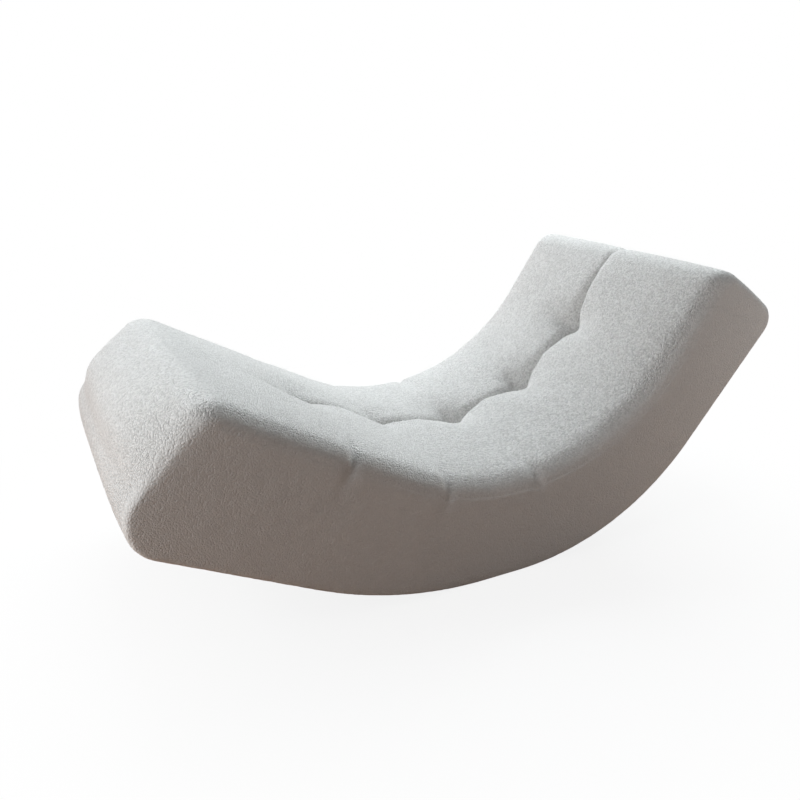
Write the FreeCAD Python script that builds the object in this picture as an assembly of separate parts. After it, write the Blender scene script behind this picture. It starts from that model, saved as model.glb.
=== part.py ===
import FreeCAD, Part
import math
import os

# Armless one-piece rocking lounge: a padded crescent on a plywood frame, tufted along its middle.
# Millimetres. +X is the head end, -X the foot end, +Z up, +Y the sitter's right.
# The origin is the centre of the flat strip on which the base rests on the floor.

# Overall form, measured on the outside of the covers
WIDTH = 700.0
REST_STRIP = 90.0
BASE_FOOT_RADIUS = 885.0
BASE_FOOT_ANGLE = 26.7
BASE_HEAD_RADIUS = 628.0
BASE_HEAD_ANGLE = 50.3
SEAT_LOW_X = 22.0
SEAT_HEIGHT = 242.0
SEAT_RADIUS = 515.0
SEAT_FOOT_ANGLE = 28.6
SEAT_HEAD_ANGLE = 55.6
FOOT_RUN = 454.0
HEAD_RUN = 227.0
FOOT_END_SLOPE = 49.0
HEAD_END_SLOPE = 35.5

# Rounding of the outline's corners and of the edges round the side panels
FOOT_FOLD_RADIUS = 50.0
FOOT_HEEL_RADIUS = 80.0
HEAD_FOLD_RADIUS = 55.0
HEAD_HEEL_RADIUS = 45.0
TOP_EDGE_RADIUS = 38.0
END_EDGE_RADIUS = 30.0
BASE_EDGE_RADIUS = 10.0

# Padding form: crown of each half, centre channel, tufts, bulge of the end faces
CROWN = 32.0
HEAD_CROWN = 18.0
FOOT_CROWN = 6.0
CHANNEL_DEPTH = 14.0
CHANNEL_REACH = 140.0
TUFT_COUNT = 5
TUFT_HEAD_MARGIN = 258.8
TUFT_FOOT_MARGIN = 318.1
TUFT_PULL = 30.0
TUFT_REACH = 200.0
TUFT_PATCH = 24.0
CHANNEL_FALL = 3.0
TUFT_FALL = 2.5
PULL_FALL = 2.0
HEAD_NOTCH = 8.0
FOOT_BULGE = 44.0
FOOT_FOLD_OUT = 20.0
HEAD_BULGE = 9.0
HEAD_FOLD_OUT = 2.0
BULGE_FALL = 4.0
LEAST_BULGE = 0.2
HEAD_LOBE_BLEND = 0.4

# Places across at which the form is drawn: shares of the flat width, then degrees round the edge
FLAT_SHARES = (0.1, 0.27, 0.53, 0.8, 1.0)
EDGE_DEGREES = (30.0, 60.0, 90.0)
STRAIGHT_SAG = 0.005

# Layers, from the outside inward
COVER = 3.0
BASE_CLOTH = 2.0
BASE_FELT = 5.0
BASE_SKIN = 6.0
SIDE_PAD = 12.0
END_PAD = 60.0
SEAT_DEPTH = 105.0
DECK = 6.0
LAYER_GAP = 0.3
SEAM_GAP = 0.3
CLOTH_MARGIN = 12.0

# Frame
CHEEK = 18.0
RIB = 15.0
RIB_OFFSET = 110.0
END_BOARD = 15.0
BOARD_LIFT = 0.4
RAIL_THICK = 20.0
RAIL_DEEP = 45.0
BASE_RAIL_DEEP = 40.0
BASE_RAIL_FOOT_SHARE = 1.05
BASE_RAIL_HEAD_SHARE = 0.72
CORNER_BLOCK = 45.0
FIT = 0.3

# Fasteners and ties
SCREW_SHANK = 4.0
SCREW_HEAD = 8.0
SCREW_LENGTH = 50.0
SCREW_SPACING = 22.0
SCREW_PLAY = 0.15
STAPLE_CROWN = 10.0
STAPLE_WIRE = 1.0
STAPLE_LEG = 11.0
STAPLE_PITCH = 130.0
STAPLE_EDGE = 15.0
STAPLE_SINK = 0.1
STAPLE_PLAY = 0.1
TIE = 2.2
TIE_SPREAD = 8.0
TIE_BEND = 3.0
TIE_TAIL = 3.0
TIE_PLAY = 0.4
STITCH_GAP = 1.9
TOGGLE = 30.0
TOGGLE_THICK = 5.0

VEC = FreeCAD.Vector
ACROSS = VEC(0, 1, 0)
HALF = WIDTH / 2
BIG = 3 * WIDTH + FOOT_RUN


def heading(degrees):
    """Unit vector in the side plane at an angle above +X."""
    a = math.radians(degrees)
    return VEC(math.cos(a), 0, math.sin(a))


def left_of(direction):
    """Direction turned a quarter turn towards +Z from +X."""
    return VEC(-direction.z, 0, direction.x)


def meet(p, u, q, v):
    """Crossing of the line through p along u with the line through q along v, in the side plane."""
    cross = u.x * v.z - u.z * v.x
    d = q - p
    t = (d.x * v.z - d.z * v.x) / cross
    return p + u * t


def curve(p, m, q):
    """Arc from p to q through m, or a straight edge where the three are in line."""
    chord = q - p
    sag = (m - p).cross(chord).Length / chord.Length
    if sag < STRAIGHT_SAG:
        return Part.LineSegment(p, q).toShape()
    return Part.Arc(p, m, q).toShape()


def polyline(points):
    """Straight edges through the points, in order."""
    return [Part.LineSegment(a, b).toShape() for a, b in zip(points, points[1:])]


class Track:
    """A run of the outline: straight, arc, flat, arc, straight, all tangent and hollow side up.

    Distance s runs towards the head end from the middle of the flat; height h is square to it, up.
    """

    def __init__(self, low, flat, foot_radius, foot_angle, head_radius, head_angle):
        self.low = low
        self.flat = flat
        self.radius = {-1: foot_radius, 1: head_radius}
        self.angle = {-1: foot_angle, 1: head_angle}

    def bend_end(self, side):
        """Distance at which the arc on one side (-1 foot, 1 head) turns into the straight run."""
        return side * (self.flat / 2 + self.radius[side] * math.radians(self.angle[side]))

    def frame(self, s):
        """Point on the track and the direction along it, towards the head end."""
        side = 1 if s >= 0 else -1
        run = abs(s) - self.flat / 2
        if run <= 0:
            return self.low + VEC(s, 0, 0), VEC(1, 0, 0)
        radius = self.radius[side]
        turn = min(math.degrees(run / radius), self.angle[side])
        centre = self.low + VEC(side * self.flat / 2, 0, radius)
        along = heading(side * turn)
        point = centre - left_of(along) * radius
        past = max(0.0, abs(s) - abs(self.bend_end(side)))
        return point + along * (side * past), along

    def point(self, s, h=0.0):
        """Point at distance s and height h."""
        p, along = self.frame(s)
        return p + left_of(along) * h

    def line(self, side, h):
        """Point and direction of the straight run on one side, at height h."""
        s = self.bend_end(side)
        p, along = self.frame(s)
        return p + left_of(along) * h, along

    def middle_edges(self, h):
        """Edges of both bends and the flat between them at height h, from the foot to the head."""
        foot = self.bend_end(-1)
        head = self.bend_end(1)
        marks = [foot]
        if self.flat:
            marks += [-self.flat / 2, self.flat / 2]
        elif self.radius[-1] != self.radius[1]:
            marks.append(0.0)
        marks.append(head)
        return [
            curve(self.point(a, h), self.point((a + b) / 2, h), self.point(b, h))
            for a, b in zip(marks, marks[1:])
        ]


BASE_LOW = VEC(0, 0, 0)
SEAT_LOW = VEC(SEAT_LOW_X, 0, SEAT_HEIGHT)
BASE = Track(BASE_LOW, REST_STRIP, BASE_FOOT_RADIUS, BASE_FOOT_ANGLE, BASE_HEAD_RADIUS, BASE_HEAD_ANGLE)
SEAT = Track(SEAT_LOW, 0.0, SEAT_RADIUS, SEAT_FOOT_ANGLE, SEAT_RADIUS, SEAT_HEAD_ANGLE)
SEAT_FOOT_S = SEAT.bend_end(-1) - FOOT_RUN
SEAT_HEAD_S = SEAT.bend_end(1) + HEAD_RUN
FOOT_TOP = SEAT.point(SEAT_FOOT_S)
HEAD_TOP = SEAT.point(SEAT_HEAD_S)
FOOT_DOWN = heading(180 + FOOT_END_SLOPE)
HEAD_DOWN = heading(-HEAD_END_SLOPE)
FOOT_OUT = left_of(FOOT_DOWN) * -1
HEAD_OUT = left_of(HEAD_DOWN)
TUFT_PITCH = (SEAT_HEAD_S - SEAT_FOOT_S - TUFT_HEAD_MARGIN - TUFT_FOOT_MARGIN) / (TUFT_COUNT - 1)
TUFTS = [SEAT_HEAD_S - TUFT_HEAD_MARGIN - TUFT_PITCH * i for i in range(TUFT_COUNT)]

# Half length and half width of the flat patch at the bottom of a tuft
PATCH_LONG = TUFT_PATCH / 4
PATCH_WIDE = TUFT_PATCH / 2

# Depths at which each layer's outer face lies
FELT_DEPTH = BASE_CLOTH + LAYER_GAP
SKIN_DEPTH = FELT_DEPTH + BASE_FELT + LAYER_GAP
FRAME_FLOOR = SKIN_DEPTH + BASE_SKIN + LAYER_GAP
DECK_DEPTH = SEAT_DEPTH + LAYER_GAP
FRAME_ROOF = DECK_DEPTH + DECK + LAYER_GAP
BOARD_DEPTH = END_PAD + LAYER_GAP
FRAME_END = BOARD_DEPTH + END_BOARD + LAYER_GAP
PAD_FACE = HALF - COVER - LAYER_GAP
CHEEK_OUT = PAD_FACE - SIDE_PAD
CHEEK_IN = CHEEK_OUT - CHEEK


def heel_depth(radius, along, down):
    """Depth inside an end line at which the heel's rounding runs out into the base line."""
    return radius * (1 - along.dot(down))


# Depths inside the end lines at which the base cloth ends, past the heels' rounding
CLOTH_FOOT_INSET = heel_depth(FOOT_HEEL_RADIUS, heading(-BASE_FOOT_ANGLE), FOOT_DOWN) + CLOTH_MARGIN
CLOTH_HEAD_INSET = heel_depth(HEAD_HEEL_RADIUS, heading(180 + BASE_HEAD_ANGLE), HEAD_DOWN) + CLOTH_MARGIN


def foot_line(depth):
    """Point on the foot end's line, a depth inside it."""
    return FOOT_TOP - FOOT_OUT * depth


def head_line(depth):
    """Point on the head end's line, a depth inside it."""
    return HEAD_TOP - HEAD_OUT * depth


# Heel radius, fold radius, bulge, outward shift of the fold, seat distance and lines of each end
ENDS = {
    -1: (
        FOOT_HEEL_RADIUS, FOOT_FOLD_RADIUS, FOOT_BULGE, FOOT_FOLD_OUT,
        SEAT_FOOT_S, foot_line, FOOT_DOWN, FOOT_OUT,
    ),
    1: (
        HEAD_HEEL_RADIUS, HEAD_FOLD_RADIUS, HEAD_BULGE, HEAD_FOLD_OUT,
        SEAT_HEAD_S, head_line, HEAD_DOWN, HEAD_OUT,
    ),
}


def corners(track, h, foot_depth, head_depth):
    """Where a track at height h meets the two end lines."""
    p, u = track.line(-1, h)
    q, v = track.line(1, h)
    return meet(p, u, foot_line(foot_depth), FOOT_DOWN), meet(q, v, head_line(head_depth), HEAD_DOWN)


def band(track, h0, h1, foot_depth, head_depth):
    """Face between two heights of one track and the two end lines."""
    edges = []
    for h in (h0, h1):
        foot, head = corners(track, h, foot_depth, head_depth)
        middle = track.middle_edges(h)
        edges += polyline([foot, track.line(-1, h)[0]]) + middle + polyline([track.line(1, h)[0], head])
    foot0, head0 = corners(track, h0, foot_depth, head_depth)
    foot1, head1 = corners(track, h1, foot_depth, head_depth)
    edges += polyline([foot0, foot1]) + polyline([head0, head1])
    return Part.Face(Part.Wire(Part.__sortEdges__(edges)))


def inside(base_depth, seat_depth, foot_depth, head_depth):
    """Face of the side outline, drawn in by a depth on each of its four sides."""
    edges = []
    for track, h in ((BASE, base_depth), (SEAT, -seat_depth)):
        foot, head = corners(track, h, foot_depth, head_depth)
        edges += polyline([foot, track.line(-1, h)[0]])
        edges += track.middle_edges(h)
        edges += polyline([track.line(1, h)[0], head])
    base_foot, base_head = corners(BASE, base_depth, foot_depth, head_depth)
    seat_foot, seat_head = corners(SEAT, -seat_depth, foot_depth, head_depth)
    edges += polyline([base_foot, seat_foot]) + polyline([base_head, seat_head])
    return Part.Face(Part.Wire(Part.__sortEdges__(edges)))


def slab(face, y0, y1):
    """Solid of a side face between two places across the lounge."""
    moved = face.copy()
    moved.translate(ACROSS * y0)
    return moved.extrude(ACROSS * (y1 - y0))


def both_halves(shape):
    """The right-hand half joined with its mirror image."""
    return shape.fuse(shape.mirror(VEC(0, 0, 0), ACROSS)).removeSplitter()


def mirrored(shape):
    """Mirror image on the sitter's left."""
    return shape.mirror(VEC(0, 0, 0), ACROSS)


# Padded body


def fade(y, start, reach, power):
    """One up to start, then falling to nothing over a reach."""
    if y <= start:
        return 1.0
    return max(0.0, 1 - (y - start) / reach) ** power


def tuft_pull(s):
    """Extra depth of the channel at a distance along the seat: full at each tuft, none midway."""
    nearest = min(abs(s - t) for t in TUFTS)
    away = max(0.0, nearest - PATCH_LONG)
    free = TUFT_PITCH / 2 - PATCH_LONG
    return TUFT_PULL * max(0.0, 1 - away / free) ** PULL_FALL


def channel_depth(s):
    """Depth of the sewn channel: even between the tufts, fading out to the foot end."""
    if s >= TUFTS[0]:
        share = (s - TUFTS[0]) / (SEAT_HEAD_S - TUFTS[0])
        return CHANNEL_DEPTH + (HEAD_NOTCH - CHANNEL_DEPTH) * share
    return CHANNEL_DEPTH * max(0.0, 1 - foot_share(s))


def foot_share(s):
    """How far a place is past the last tuft towards the foot end, from 0 to 1."""
    return max(0.0, (TUFTS[-1] - s) / (TUFTS[-1] - SEAT_FOOT_S))


def lobe_blend(s):
    """Share of one wide crown in place of two: none over the tufts, all at the foot end."""
    if s >= TUFTS[0]:
        return HEAD_LOBE_BLEND * (s - TUFTS[0]) / (SEAT_HEAD_S - TUFTS[0])
    return foot_share(s)


def crown_rise(s):
    """Height of the crown: full between the first two tufts, less towards either end."""
    if s >= TUFTS[0]:
        return CROWN + (HEAD_CROWN - CROWN) * (s - TUFTS[0]) / (SEAT_HEAD_S - TUFTS[0])
    return CROWN + (FOOT_CROWN - CROWN) * max(0.0, (TUFTS[1] - s) / (TUFTS[1] - SEAT_FOOT_S))


def crown(s, y):
    """Rise of the padding over the seat line before the channel is sewn in."""
    two_lobes = 1 - (2 * y / HALF - 1) ** 2
    one_lobe = 1 - (y / HALF) ** 2
    share = lobe_blend(s)
    return crown_rise(s) * (two_lobes * (1 - share) + one_lobe * share)


def edge_inset(y, half, radius):
    """How far a rounded edge has drawn in at a place across, for an edge radius."""
    past = y - (half - radius)
    if past <= 0:
        return 0.0
    return radius - math.sqrt(max(0.0, radius * radius - past * past))


class EndFace:
    """Bulged arc of one section's end face, tangent to the roundings of its heel and its fold."""

    def __init__(self, heel, heel_radius, fold, fold_radius, out, bulge):
        gap = fold - heel
        chord = gap.Length
        along = gap * (1 / chord)
        inward = left_of(along)
        if inward.dot(out) > 0:
            inward = inward * -1
        self.radius = (chord ** 2 / 4 + bulge ** 2) / (2 * bulge) + (heel_radius + fold_radius) / 2
        to_heel = self.radius - heel_radius
        to_fold = self.radius - fold_radius
        step = (chord ** 2 + to_heel ** 2 - to_fold ** 2) / (2 * chord)
        self.centre = heel + along * step + inward * math.sqrt(to_heel ** 2 - step ** 2)

    def corner(self, centre, radius, start):
        """Arc of a rounding, as its start on the base or seat line, its middle and its end on this face."""
        to_face = (centre - self.centre).normalize()
        to_start = (start - centre).normalize()
        return start, centre + (to_face + to_start).normalize() * radius, centre + to_face * radius

    def edge(self, start, end):
        """This face's edge between two of its points."""
        way = ((start + end) * 0.5 - self.centre).normalize()
        return curve(start, self.centre + way * self.radius, end)


class Section:
    """Closed side outline of the padded body at one place across, a skin depth inside the covers."""

    def __init__(self, y, skin):
        half = HALF - skin
        self.y = y
        self.skin = skin
        self.seat_in = skin + edge_inset(y, half, TOP_EDGE_RADIUS - skin)
        self.end_in = skin + edge_inset(y, half, END_EDGE_RADIUS - skin)
        self.base_in = skin + edge_inset(y, half, BASE_EDGE_RADIUS - skin)
        self.bulge_share = 1 - (y / HALF) ** BULGE_FALL

    def seat_height(self, s):
        """Height of the padding over the seat line."""
        channel = channel_depth(s) * fade(self.y, 0.0, CHANNEL_REACH, CHANNEL_FALL)
        tuft = tuft_pull(s) * fade(self.y, PATCH_WIDE, TUFT_REACH, TUFT_FALL)
        return crown(s, self.y) - self.seat_in - channel - tuft

    def end(self, side):
        """Heel arc, face and fold arc of one end, -1 at the foot and 1 at the head."""
        heel_radius, fold_radius, bulge, fold_out, seat_s, end_line, down, out = ENDS[side]
        heel_radius -= self.skin
        fold_radius -= self.skin
        base = BASE.line(side, self.base_in + heel_radius)
        seat = SEAT.line(side, self.seat_height(seat_s) - fold_radius)
        heel = meet(*base, end_line(self.end_in + heel_radius), down)
        fold = meet(*seat, end_line(self.end_in + fold_radius - fold_out * self.bulge_share), down)
        rise = max(LEAST_BULGE, bulge * self.bulge_share)
        face = EndFace(heel, heel_radius, fold, fold_radius, out, rise)
        heel_arc = face.corner(heel, heel_radius, heel - left_of(base[1]) * heel_radius)
        fold_arc = face.corner(fold, fold_radius, fold + left_of(seat[1]) * fold_radius)
        return heel_arc, face, fold_arc

    def wire(self):
        """The outline's edges, from the foot end's heel along the base and back along the seat."""
        foot_heel, foot, foot_fold = self.end(-1)
        head_heel, head, head_fold = self.end(1)
        edges = polyline([foot_heel[0], BASE.line(-1, self.base_in)[0]])
        edges += BASE.middle_edges(self.base_in)
        edges += polyline([BASE.line(1, self.base_in)[0], head_heel[0]])
        edges.append(curve(*head_heel))
        edges.append(head.edge(head_heel[2], head_fold[2]))
        edges.append(curve(*reversed(head_fold)))
        edges += self.seat_edges(head_fold[0], foot_fold[0])
        edges.append(curve(*foot_fold))
        edges.append(foot.edge(foot_fold[2], foot_heel[2]))
        edges.append(curve(*reversed(foot_heel)))
        wire = Part.Wire(edges)
        wire.translate(ACROSS * self.y)
        return wire

    def seat_edges(self, head, foot):
        """Edges of the seat line from the head fold to the foot fold, with a short flat at each tuft."""
        marks = [t + side * PATCH_LONG for t in TUFTS for side in (1, -1)]
        marks += [(s + e) / 2 for s, e in ((SEAT_HEAD_S, TUFTS[0]), (TUFTS[-1], SEAT_FOOT_S))]
        bend = SEAT.bend_end(-1)
        if min(abs(bend - m) for m in marks) > TUFT_PATCH:
            marks.append(bend)
        marks = sorted(marks, reverse=True)
        places = [SEAT.point(s, self.seat_height(s)) for s in marks]
        head_s = SEAT_HEAD_S - (HEAD_TOP - head).Length
        foot_s = SEAT_FOOT_S + (FOOT_TOP - foot).Length
        stops = list(zip([head_s] + marks + [foot_s], [head] + places + [foot]))
        return [self.seat_edge(a, b) for a, b in zip(stops, stops[1:])]

    def seat_edge(self, start, end):
        """One edge of the seat line, through its own middle height."""
        s = (start[0] + end[0]) / 2
        return curve(start[1], SEAT.point(s, self.seat_height(s)), end[1])


def padded_half(skin):
    """Right-hand half of the padded body, a skin depth inside the covers."""
    flat = HALF - TOP_EDGE_RADIUS
    places = [0.0, PATCH_WIDE]
    places += [PATCH_WIDE + (flat - PATCH_WIDE) * share for share in FLAT_SHARES]
    radius = TOP_EDGE_RADIUS - skin
    places += [flat + radius * math.sin(math.radians(a)) for a in EDGE_DEGREES]
    wires = [Section(y, skin).wire() for y in places]
    return Part.makeLoft(wires, True, False)


# Covers


def base_zone(rise, y0, y1, gap):
    """Strip along the base between the base cloth's ends, up to a rise over the base line."""
    return slab(band(BASE, -COVER, rise, CLOTH_FOOT_INSET - gap, CLOTH_HEAD_INSET - gap), y0, y1)


def side_slice(thick):
    """Flat slice of room along the outside of the right-hand side."""
    return Part.makeBox(2 * BIG, thick, 2 * BIG, VEC(-BIG, HALF - thick, -BIG))


def side_zone(gap):
    """Where the right-hand side panel lies: the flat side and the rounded edge along the base."""
    edge = base_zone(BASE_EDGE_RADIUS + gap, HALF - BASE_EDGE_RADIUS - gap, HALF, gap)
    return side_slice(COVER + gap).fuse(edge)


def side_cover(shell, outer):
    """Flat crescent panel on the sitter's right with its hem along the base edge."""
    panel = outer.common(side_slice(COVER))
    hem = shell.common(base_zone(BASE_EDGE_RADIUS + COVER, HALF - BASE_EDGE_RADIUS, HALF, 0.0))
    return panel.fuse(hem).removeSplitter()


def top_cover(shell):
    """Panel over the seat and both ends, up to the side panels and the base cloth."""
    past_cover = 2 * COVER
    half = shell.cut(side_zone(SEAM_GAP)).cut(base_zone(past_cover, 0, HALF, SEAM_GAP))
    return both_halves(half).cut(tie_holes())


def base_cloth():
    """Cloth under the rocking base, with its staples' pockets."""
    reach = HALF - BASE_EDGE_RADIUS - SEAM_GAP
    cloth = slab(band(BASE, 0.0, BASE_CLOTH, CLOTH_FOOT_INSET, CLOTH_HEAD_INSET), -reach, reach)
    return cloth.cut(staples(STAPLE_PLAY))


# Padding


def beyond(p, along, out):
    """Everything on the outer side of the line through p, right-hand half."""
    points = [p - along * BIG, p + along * BIG, p + along * BIG + out * BIG, p - along * BIG + out * BIG]
    return slab(Part.Face(Part.makePolygon(points + points[:1])), 0, HALF)


def seat_foam(padding):
    """Tufted foam on the deck, between the two end pads."""
    past_crown = 2 * CROWN
    over_deck = band(SEAT, -SEAT_DEPTH, past_crown, END_PAD + LAYER_GAP, END_PAD + LAYER_GAP)
    half = padding.common(slab(over_deck, 0, HALF))
    return both_halves(half).cut(tie_holes())


def foot_end_pad(padding):
    """Bulged pad over the foot board and the seat foam's foot end."""
    return both_halves(padding.common(beyond(foot_line(END_PAD), FOOT_DOWN, FOOT_OUT)))


def head_end_pad(padding):
    """Pad over the head board and the seat foam's head end."""
    return both_halves(padding.common(beyond(head_line(END_PAD), HEAD_DOWN, HEAD_OUT)))


def side_pad(padding):
    """Thin pad on the outside of the right-hand side frame, under the seat foam's edge."""
    depth = END_PAD + LAYER_GAP
    return padding.common(slab(inside(0.0, SEAT_DEPTH + LAYER_GAP, depth, depth), CHEEK_OUT, HALF))


def base_felt():
    """Felt between the base cloth and the base skin."""
    reach = CHEEK_OUT - LAYER_GAP
    layer = band(BASE, FELT_DEPTH, FELT_DEPTH + BASE_FELT, CLOTH_FOOT_INSET, CLOTH_HEAD_INSET)
    return slab(layer, -reach, reach).cut(staples(STAPLE_PLAY))


# Frame


def box_on(track, s, along, across, up):
    """Box square to a track, between pairs of limits along, across and up from the track."""
    p, way = track.frame(s)
    normal = left_of(way)
    points = [p + way * a + normal * h for a, h in ((along[0], up[0]), (along[1], up[0]))]
    points += [p + way * a + normal * h for a, h in ((along[1], up[1]), (along[0], up[1]))]
    return slab(Part.Face(Part.makePolygon(points + points[:1])), across[0], across[1])


def rail_places():
    """Name, track, distance and height limits of each cross rail: between the tufts, and on the base."""
    names = ("head_rail", "shoulder_rail", "lumbar_rail", "seat_rail", "thigh_rail", "calf_rail")
    under_deck = (-FRAME_ROOF - RAIL_DEEP, -FRAME_ROOF)
    on_base = (FRAME_FLOOR, FRAME_FLOOR + BASE_RAIL_DEEP)
    between = [TUFTS[0] + TUFT_PITCH * (0.5 - i) for i in range(TUFT_COUNT + 1)]
    places = [(name, SEAT, s, under_deck) for name, s in zip(names, between)]
    places.append(("base_rail_foot", BASE, BASE.bend_end(-1) * BASE_RAIL_FOOT_SHARE, on_base))
    places.append(("base_rail_middle", BASE, 0.0, on_base))
    places.append(("base_rail_head", BASE, BASE.bend_end(1) * BASE_RAIL_HEAD_SHARE, on_base))
    return places


def rail(track, s, up, fit=0.0):
    """Cross rail between the side frames, or with a fit the notch that it passes through."""
    half = RAIL_THICK / 2 + fit
    return box_on(track, s, (-half, half), (-CHEEK_IN, CHEEK_IN), (up[0] - fit, up[1] + fit))


def rail_notches():
    """Room for every cross rail."""
    return Part.makeCompound([rail(track, s, up, FIT) for name, track, s, up in rail_places()])


def frame_face():
    """Side outline of the frame inside the deck, base skin and end boards."""
    return inside(FRAME_FLOOR, FRAME_ROOF, FRAME_END, FRAME_END)


def side_frame(screw_holes):
    """Plywood crescent on the sitter's right."""
    return slab(frame_face(), CHEEK_IN, CHEEK_OUT).cut(screw_holes)


def inner_rib(notches):
    """Plywood rib right of the middle, notched over the cross rails."""
    return slab(frame_face(), RIB_OFFSET - RIB / 2, RIB_OFFSET + RIB / 2).cut(notches)


def end_board(at_foot):
    """Board across one end of the frame, between the deck and the base, a lift clear of the cover at the heel."""
    points = []
    for depth in (BOARD_DEPTH, BOARD_DEPTH + END_BOARD):
        pair = [corners(t, h, depth, depth) for t, h in ((BASE, FRAME_FLOOR + BOARD_LIFT), (SEAT, -FRAME_ROOF))]
        ends = [c[0] if at_foot else c[1] for c in pair]
        points += ends if depth == BOARD_DEPTH else ends[::-1]
    return slab(Part.Face(Part.makePolygon(points + points[:1])), -CHEEK_OUT, CHEEK_OUT)


def seat_deck():
    """Bent plywood under the seat foam, with the tie holes."""
    layer = band(SEAT, -DECK_DEPTH - DECK, -DECK_DEPTH, BOARD_DEPTH, BOARD_DEPTH)
    return slab(layer, -CHEEK_OUT, CHEEK_OUT).cut(tie_holes())


def base_skin():
    """Bent plywood under the frame, along the rocking base, ending within the foot heel's rounding."""
    layer = band(BASE, SKIN_DEPTH, SKIN_DEPTH + BASE_SKIN, FOOT_HEEL_RADIUS, BOARD_DEPTH)
    return slab(layer, -CHEEK_OUT, CHEEK_OUT).cut(staples(STAPLE_PLAY))


def corner_blocks(notches):
    """Triangular blocks in the four corners between the end boards and the side frames."""
    room = slab(frame_face(), 0, CHEEK_IN)
    foot = (foot_line(FRAME_END), FOOT_DOWN, FOOT_OUT)
    head = (head_line(FRAME_END), HEAD_DOWN, HEAD_OUT)
    blocks = []
    for p, along, out in (foot, head):
        start = p - along * BIG + ACROSS * CHEEK_IN
        points = [start, start - out * CORNER_BLOCK, start - ACROSS * CORNER_BLOCK]
        prism = Part.Face(Part.makePolygon(points + points[:1])).extrude(along * (2 * BIG))
        block = prism.common(room).cut(notches)
        blocks += [block, mirrored(block)]
    return Part.makeCompound(blocks)


# Fasteners


def rail_screws(play=0.0):
    """Countersunk screws through the right-hand side frame into the rails, or with play their holes."""
    screws = []
    inward = ACROSS * -1
    shank = SCREW_SHANK / 2 + play
    head = SCREW_HEAD / 2 + play
    for name, track, s, up in rail_places():
        for side in (-1, 1):
            at = track.point(s, (up[0] + up[1]) / 2 + side * SCREW_SPACING / 2) + ACROSS * CHEEK_OUT
            cone = Part.makeCone(head, shank, head - shank, at, inward)
            body = Part.makeCylinder(shank, SCREW_LENGTH + play, at, inward)
            screws.append(cone.fuse(body).removeSplitter())
    return screws


def staple_places():
    """Distance along the base and place across of each staple."""
    foot, head = corners(BASE, 0.0, CLOTH_FOOT_INSET, CLOTH_HEAD_INSET)
    first = BASE.bend_end(-1) - (foot - BASE.line(-1, 0.0)[0]).Length + STAPLE_EDGE
    last = BASE.bend_end(1) + (head - BASE.line(1, 0.0)[0]).Length - STAPLE_EDGE
    side = CHEEK_IN - STAPLE_EDGE
    along = spread(first, last, STAPLE_PITCH)
    across = spread(-side, side, STAPLE_PITCH)[1:-1]
    places = [(s, y) for s in along for y in (-side, side)]
    return places + [(s, y) for s in (first, last) for y in across]


def spread(first, last, pitch):
    """Evenly spaced places from first to last, at most a pitch apart."""
    count = math.ceil((last - first) / pitch)
    return [first + (last - first) * i / count for i in range(count + 1)]


def staples(play=0.0):
    """Wire staples through the base cloth and felt into the base skin, or with play their pockets.

    A pocket is open at the cloth's outer face.
    """
    out = []
    wire = STAPLE_WIRE / 2 + play
    half = STAPLE_CROWN / 2 + play
    low = -play if play else STAPLE_SINK
    crown_top = STAPLE_SINK + STAPLE_WIRE + play
    for s, y in staple_places():
        bar = box_on(BASE, s, (-wire, wire), (y - half, y + half), (low, crown_top))
        legs = [
            box_on(BASE, s, (-wire, wire), pair, (low, STAPLE_LEG + play))
            for pair in ((y - half, y - half + 2 * wire), (y + half - 2 * wire, y + half))
        ]
        out.append(bar.multiFuse(legs).removeSplitter())
    return Part.makeCompound(out)


# Tufting


def tuft_bottom():
    """Height of the cover's outside at the bottom of a tuft."""
    return -CHANNEL_DEPTH - TUFT_PULL


def toggle_top():
    """Height of the toggles' upper face, just under the deck."""
    return -FRAME_ROOF


def tie_line(t, y, h):
    """Point beside a tuft's axis, at a height over the seat line."""
    return SEAT.point(t, h) + ACROSS * y


def tie_legs(t, radius, low, high):
    """Both straight legs of a tie, as cylinders."""
    up = left_of(SEAT.frame(t)[1])
    spots = (-TIE_SPREAD / 2, TIE_SPREAD / 2)
    return [Part.makeCylinder(radius, high - low, tie_line(t, y, low), up) for y in spots]


def tie_holes():
    """Holes for every tie, from above the stitch to below the toggle."""
    low = toggle_top() - 2 * TOGGLE_THICK
    high = tuft_bottom() + COVER
    legs = [leg for t in TUFTS for leg in tie_legs(t, TIE / 2 + TIE_PLAY, low, high)]
    return Part.makeCompound(legs)


def tuft_tie(t):
    """Twine of one tuft: a stitch over the cover, two legs and the knot under the toggle."""
    half = TIE_SPREAD / 2
    top = tuft_bottom() + TIE / 2 + STITCH_GAP
    low = toggle_top() - TOGGLE_THICK - TIE_TAIL
    turn = TIE_BEND * (1 - math.sqrt(0.5))
    run = [tie_line(t, side * half, low) for side in (-1, 1)]
    knee = [tie_line(t, side * half, top - TIE_BEND) for side in (-1, 1)]
    bend = [tie_line(t, side * (half - turn), top - turn) for side in (-1, 1)]
    flat = [tie_line(t, side * (half - TIE_BEND), top) for side in (-1, 1)]
    edges = [
        Part.LineSegment(run[0], knee[0]).toShape(),
        Part.Arc(knee[0], bend[0], flat[0]).toShape(),
        Part.LineSegment(flat[0], flat[1]).toShape(),
        Part.Arc(flat[1], bend[1], knee[1]).toShape(),
        Part.LineSegment(knee[1], run[1]).toShape(),
    ]
    up = left_of(SEAT.frame(t)[1])
    ring = Part.Wire([Part.makeCircle(TIE / 2, run[0], up)])
    twine = Part.Wire(edges).makePipeShell([ring], True, True)
    start = tie_line(t, -half - TIE, low)
    knot = Part.makeCylinder(TIE, TIE_SPREAD + 2 * TIE, start, ACROSS)
    return twine.fuse(knot).removeSplitter()


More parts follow.
